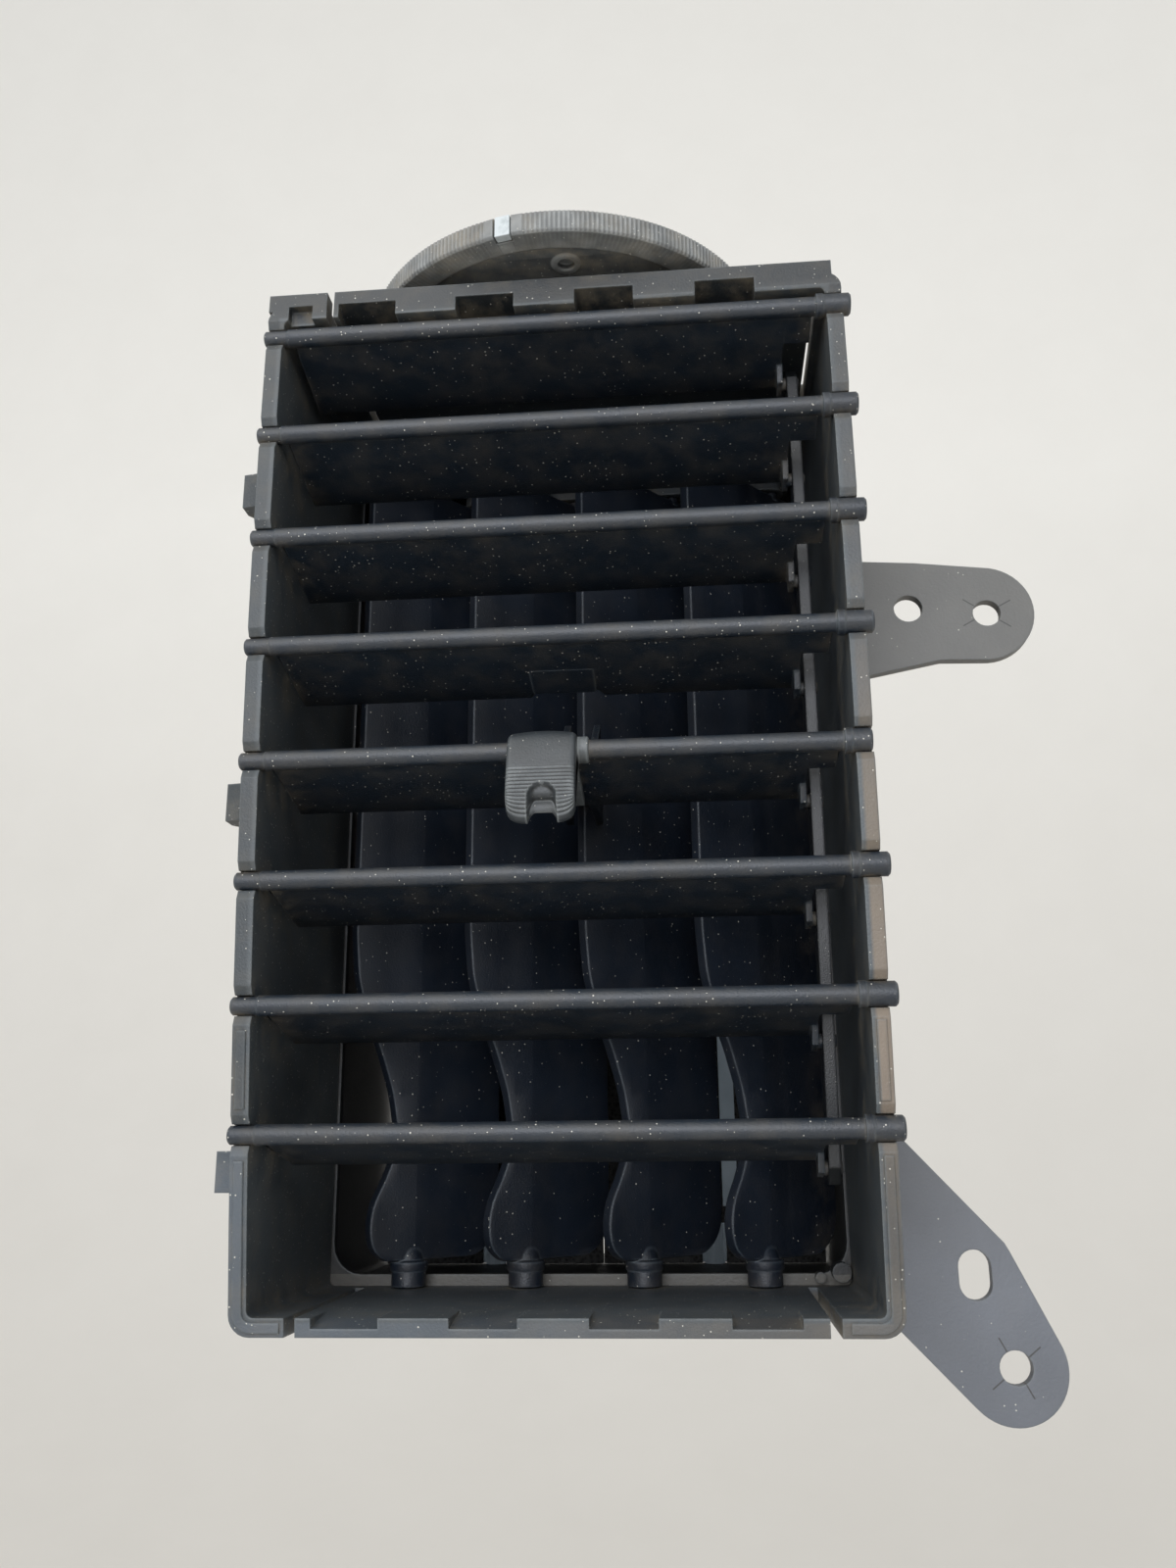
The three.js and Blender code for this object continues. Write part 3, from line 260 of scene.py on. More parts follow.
def softened_copy(node, width, body, finish, fold=30):
    """The CAD node's own solid with its edges rounded over by width millimetres; fold is the sharpest
    turn, in degrees, that is still left as a smooth surface."""
    mesh = frame["nodes"][node].data.copy()
    mesh.name = node + " moulding"
    work = bmesh.new()
    work.from_mesh(mesh)
    bmesh.ops.remove_doubles(work, verts=work.verts, dist=2e-6)
    bmesh.ops.dissolve_limit(work, angle_limit=math.radians(0.6), verts=work.verts, edges=work.edges)
    work.to_mesh(mesh)
    work.free()
    mesh.materials.clear()
    mesh.materials.append(finish)
    mesh.polygons.foreach_set("use_smooth", [True] * len(mesh.polygons))
    mesh.set_sharp_from_angle(angle=math.radians(fold))
    made = bpy.data.objects.new(node + "_moulding", mesh)
    bpy.context.scene.collection.objects.link(made)
    bevel = made.modifiers.new("round over", "BEVEL")
    bevel.width = width / 1000
    bevel.segments = 2
    bevel.limit_method = "ANGLE"
    bevel.angle_limit = math.radians(fold)
    bevel.harden_normals = True
    bevel.use_clamp_overlap = True
    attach(made, body)
    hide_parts(node)
    return made


# ABS takes the mould's fine grain: a dull charcoal, painted pale grey along its edges, for rubbing and as
# painted highlight.
black_abs = moulded_plastic(
    "injection-moulded ABS, black", "2c3135", "7c8386", "93866f", 0.5, 0.35, 0.9, 0.8, 0.6)

# Painted light on the rim: the box's outermost edge is painted paler than the walls, as if it caught the
# light: grey at the left and bottom, a warm brown painted light at the lower right, and near black along the
# top lip. Each list runs up the rim, from its bottom at 0 to its top at 1: the left side first, then the
# right.
tree = black_abs.node_tree
place = add_node(tree, "ShaderNodeTexCoord")
axes = add_node(tree, "ShaderNodeSeparateXYZ", Vector=(place, "Object"))
height = add_node(
    tree, "ShaderNodeMapRange", Value=(axes, "Z"), From_Min=(RIM_BOTTOM + datum[2]) / 1000,
    From_Max=(RIM_TOP + datum[2]) / 1000)
rim_light_ramps = []
for stops in (
    [(0.0, "474e55"), (0.14, "474e55"), (0.18, "30363a"), (0.96, "30363a"), (0.98, "24282b")],
    [(0.0, "4a4947"), (0.14, "4c4945"), (0.19, "71665a"), (0.45, "5f574d"), (0.62, "3f4244"),
     (0.96, "3a3e41"), (0.98, "24282b")],
):
    ramp = add_node(tree, "ShaderNodeValToRGB", Fac=(height, "Result"))
    ramp.color_ramp.elements[0].color = linear(stops[0][1])
    ramp.color_ramp.elements[1].color = linear(stops[-1][1])
    ramp.color_ramp.elements[1].position = stops[-1][0]
    for position, code in stops[1:-1]:
        ramp.color_ramp.elements.new(position).color = linear(code)
    rim_light_ramps.append(ramp)
right = add_node(
    tree, "ShaderNodeMapRange", Value=(axes, "X"), From_Min=(-20 + datum[0]) / 1000,
    From_Max=(42 + datum[0]) / 1000)
rim_painted_light = add_node(tree, "ShaderNodeMix", {"data_type": "RGBA"}, Factor=(right, "Result"))
tree.links.new(rim_light_ramps[0].outputs["Color"], rim_painted_light.inputs[6])
tree.links.new(rim_light_ramps[1].outputs["Color"], rim_painted_light.inputs[7])
# Only the outermost half millimetre of the box takes the rim's painted light.
outer = None
for axis, start, end in [("X", 44.8, 45.3), ("X", -44.8, -45.3), ("Z", -25.2, -25.6), ("Z", 130.4, 130.8)]:
    shift = datum["XYZ".index(axis)]
    reach = add_node(
        tree, "ShaderNodeMapRange", Value=(axes, axis), From_Min=(start + shift) / 1000,
        From_Max=(end + shift) / 1000)
    outer = reach if outer is None else add_node(
        tree, "ShaderNodeMath", {"operation": "MAXIMUM"}, n0=(outer, outer.outputs[0].name),
        n1=(reach, "Result"))
rim = add_node(tree, "ShaderNodeMix", {"data_type": "RGBA"}, Factor=(outer, "Value"))
rim.inputs[6].default_value = linear("41474b")
tree.links.new(rim_painted_light.outputs[2], rim.inputs[7])
tree.links.new(rim.outputs[2], tree.nodes["tone"].inputs[0])
softened_copy("front_shroud", SHROUD_EDGE, "housing", black_abs, fold=22)


def in_row(points):
    """Millimetres from the bottom louvre's pivot to metres in the row frame."""
    return (np.asarray(points, float) + datum) / 1000


def lofted(rings):
    """Closed skin through a stack of closed rings (stations x points x 3), with a flat cap on each end."""
    rings = np.asarray(rings, float)
    stations, count = rings.shape[:2]
    quads = grid_quads(stations, count, wrap_columns=True)
    caps = [list(range(count))[::-1], [(stations - 1) * count + i for i in range(count)]]
    return rings.reshape(-1, 3), quads.tolist() + caps


def make_piece(name, shells, body, node, finish, fold=32):
    """One object from closed shells given in millimetres, riding on a body and standing for a CAD node."""
    points, faces, start = [], [], 0
    for verts, polygons in shells:
        points.append(in_row(verts))
        faces += [[i + start for i in polygon] for polygon in polygons]
        start += len(verts)
    mesh = bpy.data.meshes.new(name)
    mesh.from_pydata(np.concatenate(points).tolist(), [], faces)
    work = bmesh.new()
    work.from_mesh(mesh)
    bmesh.ops.remove_doubles(work, verts=work.verts, dist=1e-7)
    bmesh.ops.recalc_face_normals(work, faces=work.faces)
    work.to_mesh(mesh)
    work.free()
    mesh.materials.append(finish)
    mesh.polygons.foreach_set("use_smooth", [True] * len(mesh.polygons))
    mesh.set_sharp_from_angle(angle=math.radians(fold))
    made = bpy.data.objects.new(name, mesh)
    bpy.context.scene.collection.objects.link(made)
    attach(made, body)
    if node:
        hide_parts(node)
    return made


RIM_FRONT, ARC_CENTRE, ARC_RADIUS = -6.9 - 1.3, 105, 800
BAND_X = 45.7


def rim_band(path):
    """Raised step along the middle of the rim's front edge: a flat strip 1.5 mm wide and 0.3 mm proud with
    chamfered sides, carried along (x, z) points and following the rim's shallow arc in y."""
    path = np.asarray(path, float)
    heading = np.gradient(path, axis=0)
    heading /= np.linalg.norm(heading, axis=1)[:, None]
    side = np.column_stack([-heading[:, 1], heading[:, 0]])
    across = np.array([-0.75, -0.75, -0.6, 0.6, 0.75, 0.75])
    proud = np.array([0.2, -0.15, -0.3, -0.3, -0.15, 0.2])
    x = path[:, :1] + side[:, :1] * across[None]
    z = path[:, 1:] + side[:, 1:] * across[None]
    y = RIM_FRONT + (path[:, 1:] - ARC_CENTRE) ** 2 / (2 * ARC_RADIUS) + proud[None]
    return lofted(np.stack([x, y, z], -1))


# One up the lowest tooth on each side, and one round each bottom corner.
span = np.linspace(3.6, 14.6, 9)
bands = [rim_band(np.column_stack([np.full(9, x), span])) for x in (-BAND_X, BAND_X)]
bend = np.linspace(math.pi, 1.5 * math.pi, 9)
for side in (1, -1):
    fall = np.column_stack([np.full(8, -BAND_X), np.linspace(-3.6, -24, 8)])
    corner = np.column_stack([-43.7 + 2 * np.cos(bend), -24.1 + 2 * np.sin(bend)])[1:]
    run = np.column_stack([np.linspace(-43.2, -39.6, 4), np.full(4, -26.1)])
    bands.append(rim_band(np.concatenate([fall, corner, run]) * [side, 1]))
make_piece("shroud_rim_step", bands, "housing", None, black_abs)

# Rear housing, ears and duct seal ---------------------------------------------------------
# The duct half, moulded in grey talc-filled polypropylene, with the two flat ears that carry the
# vent. The screws' heads have left radial creases round the outer holes. Foam tape seals the duct.

EAR_START, LEDGE_TOP, LEDGE_BACK = 47.2, -22.9, 46.8
# Talc makes the polypropylene chalky: an even mid grey with hardly any shine.
grey_pp = moulded_plastic(
    "talc-filled polypropylene, grey", "5b5e60", "8d9294", "8a8375", 0.5, 0.5, 0.9, 0.1, 0.2, 22)

# Painted shade and light: inside the duct the plastic is painted almost black for the shade it lies in; the
# bottom ledge's front and the ears, in the light, keep their grey.
tree = grey_pp.node_tree
place = add_node(tree, "ShaderNodeTexCoord")
axes = add_node(tree, "ShaderNodeSeparateXYZ", Vector=(place, "Object"))
outside = add_node(
    tree, "ShaderNodeMath", {"operation": "GREATER_THAN"}, n0=(axes, "X"), n1=(EAR_START + datum[0]) / 1000)
shaded_duct_lit_ears = add_node(tree, "ShaderNodeMix", {"data_type": "RGBA"}, Factor=(outside, "Value"))
ledge = add_node(
    tree, "ShaderNodeMath", {"operation": "LESS_THAN"}, n0=(axes, "Z"), n1=(LEDGE_TOP + datum[2]) / 1000)
front = add_node(
    tree, "ShaderNodeMath", {"operation": "LESS_THAN"}, n0=(axes, "Y"), n1=(LEDGE_BACK + datum[1]) / 1000)
bare = add_node(tree, "ShaderNodeMath", {"operation": "MULTIPLY"}, n0=(ledge, "Value"), n1=(front, "Value"))
lining = add_node(tree, "ShaderNodeMix", {"data_type": "RGBA"}, Factor=(bare, "Value"))
lining.inputs[6].default_value = linear("1b1d1f")
lining.inputs[7].default_value = linear("4a4843")
tree.links.new(lining.outputs[2], shaded_duct_lit_ears.inputs[6])
# The ears' grey turns from bluish low down to neutral higher up.
lower = add_node(
    tree, "ShaderNodeMapRange", Value=(axes, "Z"), From_Min=-0.125, From_Max=-0.02, To_Min=0.0, To_Max=1.0)
ear_tone = add_node(tree, "ShaderNodeMix", {"data_type": "RGBA"}, Factor=(lower, "Result"))
ear_tone.inputs[6].default_value = linear("5d6168")
ear_tone.inputs[7].default_value = linear("5c5c5a")
tree.links.new(ear_tone.outputs[2], shaded_duct_lit_ears.inputs[7])
tree.links.new(shaded_duct_lit_ears.outputs[2], tree.nodes["tone"].inputs[0])

# Creases pressed round the outer screw holes, drawn as painted shade: dark hairlines that cross at the hole's
# centre.
CREASE_HALF_WIDTH, CREASE_HALF_LENGTH = 0.00012, 0.0052
crease_shade_lines = None
for hole_x, hole_z, angle in [(77.5, 94.7, 28), (77.5, 94.7, -35), (70, -37.5, 38), (70, -37.5, -62)]:
    centred = add_node(
        tree, "ShaderNodeVectorMath", {"operation": "SUBTRACT"}, n0=(place, "Object"),
        n1=((hole_x + datum[0]) / 1000, 0, (hole_z + datum[2]) / 1000))
    spun = add_node(
        tree, "ShaderNodeVectorRotate", {"rotation_type": "Y_AXIS"}, Vector=(centred, "Vector"),
        Angle=math.radians(angle))
    lie = add_node(tree, "ShaderNodeSeparateXYZ", Vector=(spun, "Vector"))
    thin = add_node(
        tree, "ShaderNodeMath", {"operation": "COMPARE"}, n0=(lie, "Z"), n1=0.0, n2=CREASE_HALF_WIDTH)
    short = add_node(
        tree, "ShaderNodeMath", {"operation": "COMPARE"}, n0=(lie, "X"), n1=0.0, n2=CREASE_HALF_LENGTH)
    line = add_node(
        tree, "ShaderNodeMath", {"operation": "MULTIPLY"}, n0=(thin, "Value"), n1=(short, "Value"))
    crease_shade_lines = line if crease_shade_lines is None else add_node(
        tree, "ShaderNodeMath", {"operation": "MAXIMUM"}, n0=(crease_shade_lines, "Value"), n1=(line, "Value"))
crease_shaded = add_node(tree, "ShaderNodeMix", {"data_type": "RGBA"}, Factor=(crease_shade_lines, "Value"))
tree.links.new(tree.nodes["tone"].inputs[0].links[0].from_socket, crease_shaded.inputs[6])
crease_shaded.inputs[7].default_value = linear("383838")
tree.links.new(crease_shaded.outputs[2], tree.nodes["tone"].inputs[0])
softened_copy("rear_housing", 0.25, "housing", grey_pp)

# Torn cells: a deep matt black with painted shade in the pores, charcoal on their rims.
foam, tree, out = new_material("open-cell polyurethane foam tape, black")
place = add_node(tree, "ShaderNodeTexCoord")
pores = add_node(tree, "ShaderNodeTexVoronoi", Vector=(place, "Object"), Scale=1000 / 0.8)
pore_shade = add_node(tree, "ShaderNodeValToRGB", Fac=(pores, "Distance"))
pore_shade.color_ramp.elements[0].position, pore_shade.color_ramp.elements[0].color = 0.1, linear("141414")
pore_shade.color_ramp.elements[1].position, pore_shade.color_ramp.elements[1].color = 0.6, linear("3a3a39")
cells = add_node(tree, "ShaderNodeBump", Strength=0.9, Distance=0.0003, Height=(pores, "Distance"))
body_foam = add_node(
    tree, "ShaderNodeBsdfPrincipled", Base_Color=(pore_shade, "Color"), Roughness=0.95, Normal=(cells, "Normal"))
tree.links.new(body_foam.outputs["BSDF"], out.inputs["Surface"])
softened_copy("duct_seal", 0.6, "housing", foam)

# Louvres ----------------------------------------------------------------------------------
# Eight satin black blades. Each is one moulding: a round bar along the front that runs out into
# the pins, a thin tapering blade behind it, and a small pin at the right for the link strip.

BAR, LEFT_PIN, RIGHT_PIN, COLLAR = 1.5, 1.35, 1.8, 1.95
CHORD, TILT = 16.6, math.radians(14)
CORNER_LEFT, CORNER_RIGHT, CORNER_CUT = 38.0, 42.2, 9.6
NOTCH_CUT = 1.5


def blade_ring(x, blade, radius, cut=0.0):
    """Section of a louvre at x, as chord distance s and height n: a circle of the given radius, or with
    blade = 1 the bar's front half run out into the tapered blade, its back edge shortened by cut."""
    front = np.radians(np.linspace(90, 270, 19))
    s = np.array([0.75, 1.3, 3, 8, 12, 16.1, 16.5, 16.6, 16.5, 16.1, 12, 8, 3, 1.3, 0.75])
    s = np.where(s > 3, 3 + (s - 3) * (CHORD - 3 - cut) / (CHORD - 3), s)
    n = [-1.3, -0.85, -0.8, -0.68, -0.6, -0.5, -0.3, 0, 0.3, 0.5, 0.6, 0.68, 0.8, 0.85, 1.3]
    rear = np.radians(np.linspace(270, 450, 17)[1:-1])
    tail = np.stack([s, n], -1) if blade else radius * np.stack([np.cos(rear), np.sin(rear)], -1)
    ring = np.concatenate([radius * np.stack([np.cos(front), np.sin(front)], -1), tail])
    return np.column_stack([np.full(len(ring), x), ring])


def tilted(points, pivot):
    """(x, s, n) points in the vent's millimetres: s runs back along the tilted chord, n square to it."""
    x, s, n = np.moveaxis(np.asarray(points, float), -1, 0)
    y = pivot[0] + s * math.cos(TILT) + n * math.sin(TILT)
    z = pivot[1] - s * math.sin(TILT) + n * math.cos(TILT)
    return np.stack([x, y, z], -1)


def pin_rings(x0, x1, radius, s, n, chamfer=0.25):
    """Rings of a round pin along x about (s, n), with a small chamfer at its far end."""
    a = np.radians(np.arange(0, 360, 15))
    stations = [(x0, radius), (x1 - chamfer, radius), (x1, radius - chamfer)]
    return [np.column_stack([np.full(24, x), s + r * np.cos(a), n + r * np.sin(a)]) for x, r in stations]


# Polished mould faces give the nylon a soft sheen, blue-black in the light and dusty underneath.
satin_black = moulded_plastic(
    "moulded nylon blend, satin black", "1a222b", "6d767c", "8d8069", 0.4, 0.3, 0.85, 0.85, 0.6)
for number in range(1, 9):
    pivot = (np.array(joints[f"louvre_{number}_tilt"]["pos_m"]) * 1000 - datum)[1:]
    end = 46.9 if number == 5 else 48.3
    # Sections from left to right: pin, bar, blade, the corner left free for the link, collar and pin.
    stations = [
        (-47.6, 0, LEFT_PIN - 0.25), (-47.35, 0, LEFT_PIN), (-43.6, 0, LEFT_PIN),
        (-43.6, 0, BAR), (-42.8, 0, BAR), (-42.8, 1, BAR)]
    if number == 4:
        # The blade over the tab has a shallow notch in its back edge, stiffened by a pad underneath.
        stations += [(-5.0, 1, BAR), (-4.0, 1, BAR, NOTCH_CUT), (6.0, 1, BAR, NOTCH_CUT), (7.0, 1, BAR)]
    stations += [
        (37.8, 1, BAR), (CORNER_LEFT, 1, BAR, CORNER_CUT), (CORNER_RIGHT, 1, BAR, CORNER_CUT),
        (CORNER_RIGHT, 0, BAR), (42.8, 0, BAR), (42.8, 0, COLLAR - 0.1),
        (42.9, 0, COLLAR), (43.9, 0, COLLAR), (44.0, 0, COLLAR - 0.1),
        (44.0, 0, RIGHT_PIN), (end - 0.3, 0, RIGHT_PIN), (end, 0, RIGHT_PIN - 0.3)]
    shells = [lofted(tilted([blade_ring(*station) for station in stations], pivot))]
    lug = np.array([[12.7, -3.1], [15.7, -3.1], [16.1, -0.2], [10.9, -0.2]])
    shells.append(lofted(tilted([np.column_stack([np.full(4, v), lug]) for v in (37.1, CORNER_LEFT)], pivot)))
    shells.append(lofted(tilted(pin_rings(37.5, 40.8, 1.1, 14.3, -2), pivot)))
    if number == 4:
        pad = np.array([[9.2, -0.8], [14.8, -0.76], [15.0, -0.6], [15, 0], [8, 0], [8.6, -0.68]])
        shells.append(lofted(tilted([np.column_stack([np.full(6, v), pad]) for v in (-4.4, 5.6)], pivot)))
    louvre = f"louvre_{number}"
    make_piece(louvre + "_blade", shells, louvre, louvre, satin_black)

# Louvre link ------------------------------------------------------------------------------
# A flat strip down the right wall with a hole for every louvre's pin, so all eight tilt as one.
# It is moulded in acetal and pressed over the pins.

# Waxy acetal, unlit inside the vent, so that it reads almost black.
link_black = moulded_plastic(
    "acetal strip, black", "0b0f12", "1c2124", "2c2a26", 0.4, 0.2, 0.5, 0.4, 0.3)
softened_copy("louvre_link", 0.2, "louvre_link", link_black)

# Finger tab and fork ----------------------------------------------------------------------
# The grip slides along the middle louvre's bar. Its face is a smooth cap over fine ribs, with a
# thumb hollow between two ribbed legs. Behind the blade, a fork carries its motion to the vanes.

TAB_LEFT, TAB_RIGHT = -6.1, 3.9
RIB_PITCH, TAB_ROUNDING = 0.6, 0.7


def smooth_closed(points, count):
    """Smooth closed curve through the points (Catmull-Rom), as count points evenly spaced along it."""
    p = np.asarray(points, float)
    t = np.linspace(0, 1, 24, endpoint=False)[None, :, None]
    a, b, c, d = (np.roll(p, k, axis=0)[:, None, :] for k in (1, 0, -1, -2))
    curve = 0.5 * (2 * b + (c - a) * t + (2 * a - 5 * b + 4 * c - d) * t**2 + (3 * b - a - 3 * c + d) * t**3)
    curve = curve.reshape(-1, 2)
    step = np.linalg.norm(np.roll(curve, -1, axis=0) - curve, axis=1)
    length = np.concatenate([[0], np.cumsum(step)])
    at = np.linspace(0, length[-1], count, endpoint=False)
    closed = np.vstack([curve, curve[:1]])
    return np.column_stack([np.interp(at, length, closed[:, k]) for k in (0, 1)])


def tab_skin(pivot):
    """Grip of the tab. Rings run round the paddle's side profile; the ends are drawn in to round them, and
    the top and the legs' tips fall away towards the corners. Ribs are waves of RIB_PITCH across the front
    below the cap; the thumb hollow is a trough pressed in between the legs, deepest at their tips."""
    profile = [
        (1.8, 2.45), (-0.6, 2.5), (-2.1, 2.2), (-3.8, 1.1), (-4.9, -0.3), (-5.35, -2.6), (-5.35, -5.6),
        (-5.3, -8.5), (-4.9, -11.1), (-3.8, -12.9), (-2.4, -13.4), (-1.6, -12.3), (-2.2, -10.2),
        (-2.6, -6.8), (-2.2, -4.2), (-1.4, -2.9), (1.8, -2.45)]
    ring = smooth_closed(profile, 420)
    edge = np.array([0, 0.04, 0.15, 0.33, 0.58])
    x = np.concatenate([
        TAB_LEFT + edge, np.linspace(TAB_LEFT + 0.9, TAB_RIGHT - 0.9, 49), TAB_RIGHT - edge[::-1]])
    away = np.minimum(x - TAB_LEFT, TAB_RIGHT - x)
    inset = TAB_ROUNDING * (1 - np.sqrt(1 - (1 - np.clip(away / TAB_ROUNDING, 0, 1)) ** 2))
    s, n = ring[:, 0], ring[:, 1]
    tangent = np.roll(ring, -1, axis=0) - np.roll(ring, 1, axis=0)
    outward = np.column_stack([tangent[:, 1], -tangent[:, 0]])
    outward /= np.linalg.norm(outward, axis=1)[:, None]
    outward *= np.sign(((ring - ring.mean(0)) * outward).sum())
    ribbed = np.clip((-3.0 - s) / 0.5, 0, 1) * np.clip((-5.5 - n) / 0.2, 0, 1)
    ribbed = ribbed * np.clip((n + 13.2) / 0.4, 0, 1)
    wave = np.abs(np.sin((n + 5.5) * math.pi / RIB_PITCH))
    ribs = ribbed * (0.34 * wave**0.8 - 0.3)
    middle = (x + 0.8) / 1.95
    across = np.clip(1.25 - np.abs(middle) ** 3, 0, 1) ** 0.7
    arch = np.clip((-7.9 - 1.3 * middle[:, None] ** 2 - n[None]) / 0.6, 0, 1)
    press = across[:, None] * arch * np.clip((-2.2 - s) / 0.5, 0, 1)[None]
    deep = np.clip(0.7 + (-8.0 - n) / 3.2, 0.7, 2.2)
    offset = ribs[None, :] * (1 - np.clip(press * 4, 0, 1)) - inset[:, None] - press * deep[None, :]
    rings = ring[None] + outward[None] * offset[..., None]
    corner = np.abs((x - (TAB_LEFT + TAB_RIGHT) / 2) / 5)
    rings[..., 1] -= 0.55 * (corner**2)[:, None] * np.clip((n + 1) / 3, 0, 1)[None]
    low = np.clip((-9.5 - n) / 3.5, 0, 1)[None]
    rings[..., 1] += 1.5 * (corner**5)[:, None] * low + 1.7 * across[:, None] * low
    return lofted(tilted(np.concatenate([np.repeat(x[:, None], len(ring), 1)[..., None], rings], -1), pivot))


tab_pivot = (np.array(joints["louvre_5_tilt"]["pos_m"]) * 1000 - datum)[1:]
fork_x = (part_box("tab_fork")[0].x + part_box("tab_fork")[1].x) * 500 - datum[0]
foot = np.array([[1.6, -2.5], [13, -2.3], [13, -1.05], [1.6, -1.15]])
sleeve = pin_rings(TAB_RIGHT - 0.9, TAB_RIGHT + 1.6, 2.0, 0, 0)
# Handled ABS: charcoal, its crests painted pale for finger polish and as painted highlight, with brown grime
# on the cap.
grip_abs = moulded_plastic(
    "moulded ABS, ribbed grip", "2c3135", "a4aaab", "6f6c63", 0.42, 0.3, 0.9, 0.4, 0.25, 4, crest=0.5)
# Painted shade: the grooves between the ribs, found by low pointiness, are painted much darker than the
# crests.
tree = grip_abs.node_tree
curvature = add_node(tree, "ShaderNodeNewGeometry")
groove_shade = add_node(
    tree, "ShaderNodeMapRange", Value=(curvature, "Pointiness"), From_Min=0.455, From_Max=0.5, To_Min=0.2,
    To_Max=1.0)
skin = next(node for node in tree.nodes if node.type == "BSDF_PRINCIPLED")
groove_shaded = add_node(tree, "ShaderNodeVectorMath", {"operation": "SCALE"}, Scale=(groove_shade, "Result"))
tree.links.new(skin.inputs["Base Color"].links[0].from_socket, groove_shaded.inputs[0])
tree.links.new(groove_shaded.outputs["Vector"], skin.inputs["Base Color"])
runner = [np.column_stack([np.full(4, v), foot]) for v in (fork_x - 2.8, TAB_RIGHT - 0.2)]
make_piece(
    "finger_tab_grip",
    [tab_skin(tab_pivot), lofted(tilted(runner, tab_pivot)), lofted(tilted(sleeve, tab_pivot))],
    "finger_tab", "finger_tab", grip_abs)
softened_copy("tab_fork", 0.2, "finger_tab", satin_black)

# Vanes ------------------------------------------------------------------------------------
# Four upright blades behind the louvres, moulded like them. The front edge sweeps back in an S
# towards the floor, and each turns on a stub shaft under a small domed collar.

VANE_TURN = math.radians(45)
VANE_LOW, VANE_HIGH = -20.5, 124


def vane_blade(pivot):
    """Plate in the plane turned 45 degrees to the left. For each height the section runs from the front edge
    to the back edge: 2 mm thick with square rims, and swollen to 3.6 mm in a straight wedge at the pivot."""
    heights = np.concatenate([
        [VANE_LOW, -20.35, -20.1], np.linspace(-19.6, 62, 84), np.linspace(65, 119, 19),
        VANE_HIGH - np.geomspace(4, 0.05, 9), [VANE_HIGH]])
    knots = [VANE_LOW, -18.4, -15, -11, -7, -1, 7, 14, 20, 26, 34, VANE_HIGH]
    sweep = [-6.4, -7.8, -8.5, -7.8, -5.4, -3.1, -4.6, -7.2, -10.2, -12.2, -13, -13]
    fine = np.linspace(VANE_LOW, VANE_HIGH, 600)
    rough = np.interp(fine, knots, sweep)
    kernel = np.hanning(27) / np.hanning(27).sum()
    soft = np.convolve(np.pad(rough, 13, mode="edge"), kernel, "valid")
    front = np.interp(heights, fine, soft)
    top = np.clip((heights - 120) / 4, 0, 1)
    foot = np.clip((-13.5 - heights) / 7, 0, 1)
    toe = np.clip((-17.7 - heights) / 2.8, 0, 1)
    front = front + 4 * (1 - np.sqrt(1 - top**2)) + 3 * (1 - np.sqrt(1 - toe**2))
    back = 18 - 4 * (1 - np.sqrt(1 - top**2)) - 7 * (1 - np.sqrt(1 - foot**2))
    rim = np.clip(np.minimum(heights - VANE_LOW, VANE_HIGH - heights) / 0.5, 0, 1)
    half = 0.5 + 0.5 * np.sqrt(1 - (1 - rim) ** 2)
    nose = np.array([
        [0.2, -1], [0.06, -0.94], [0, -0.8], [0, -0.4], [0, 0], [0, 0.4], [0, 0.8], [0.06, 0.94], [0.2, 1]])
    s_front = front[:, None] + nose[None, :, 0]
    s_back = back[:, None] - nose[None, ::-1, 0]
    wedge = np.array([-7.0, -3.5, -0.12, 0.12, 3.5, 7.0])
    s_up = np.clip(wedge[None], front[:, None] + 1.0, back[:, None] - 1.0)
    swell = np.clip(1 - np.abs(s_up) / 7, 0, 1) * 0.8 + 1
    s = np.concatenate([s_front, s_up, s_back, s_up[:, ::-1]], 1)
    ones = np.ones(len(heights))[:, None]
    t = half[:, None] * np.concatenate(
        [ones * nose[None, :, 1], swell, ones * nose[None, ::-1, 1], -swell[:, ::-1]], 1)
    x = pivot[0] + s * math.sin(VANE_TURN) + t * math.cos(VANE_TURN)
    y = pivot[1] + s * math.cos(VANE_TURN) - t * math.sin(VANE_TURN)
    return lofted(np.stack([x, y, np.repeat(heights[:, None], s.shape[1], 1)], -1))


def turned(profile, centre, steps=40):
    """Solid of revolution about an upright axis at centre: profile is (radius, height) pairs."""
    a = np.linspace(0, 2 * math.pi, steps, endpoint=False)
    r, h = np.asarray(profile, float).T
    x = centre[0] + r[:, None] * np.cos(a)[None]
    y = centre[1] + r[:, None] * np.sin(a)[None]
    return lofted(np.stack([x, y, np.repeat(h[:, None], steps, 1)], -1))


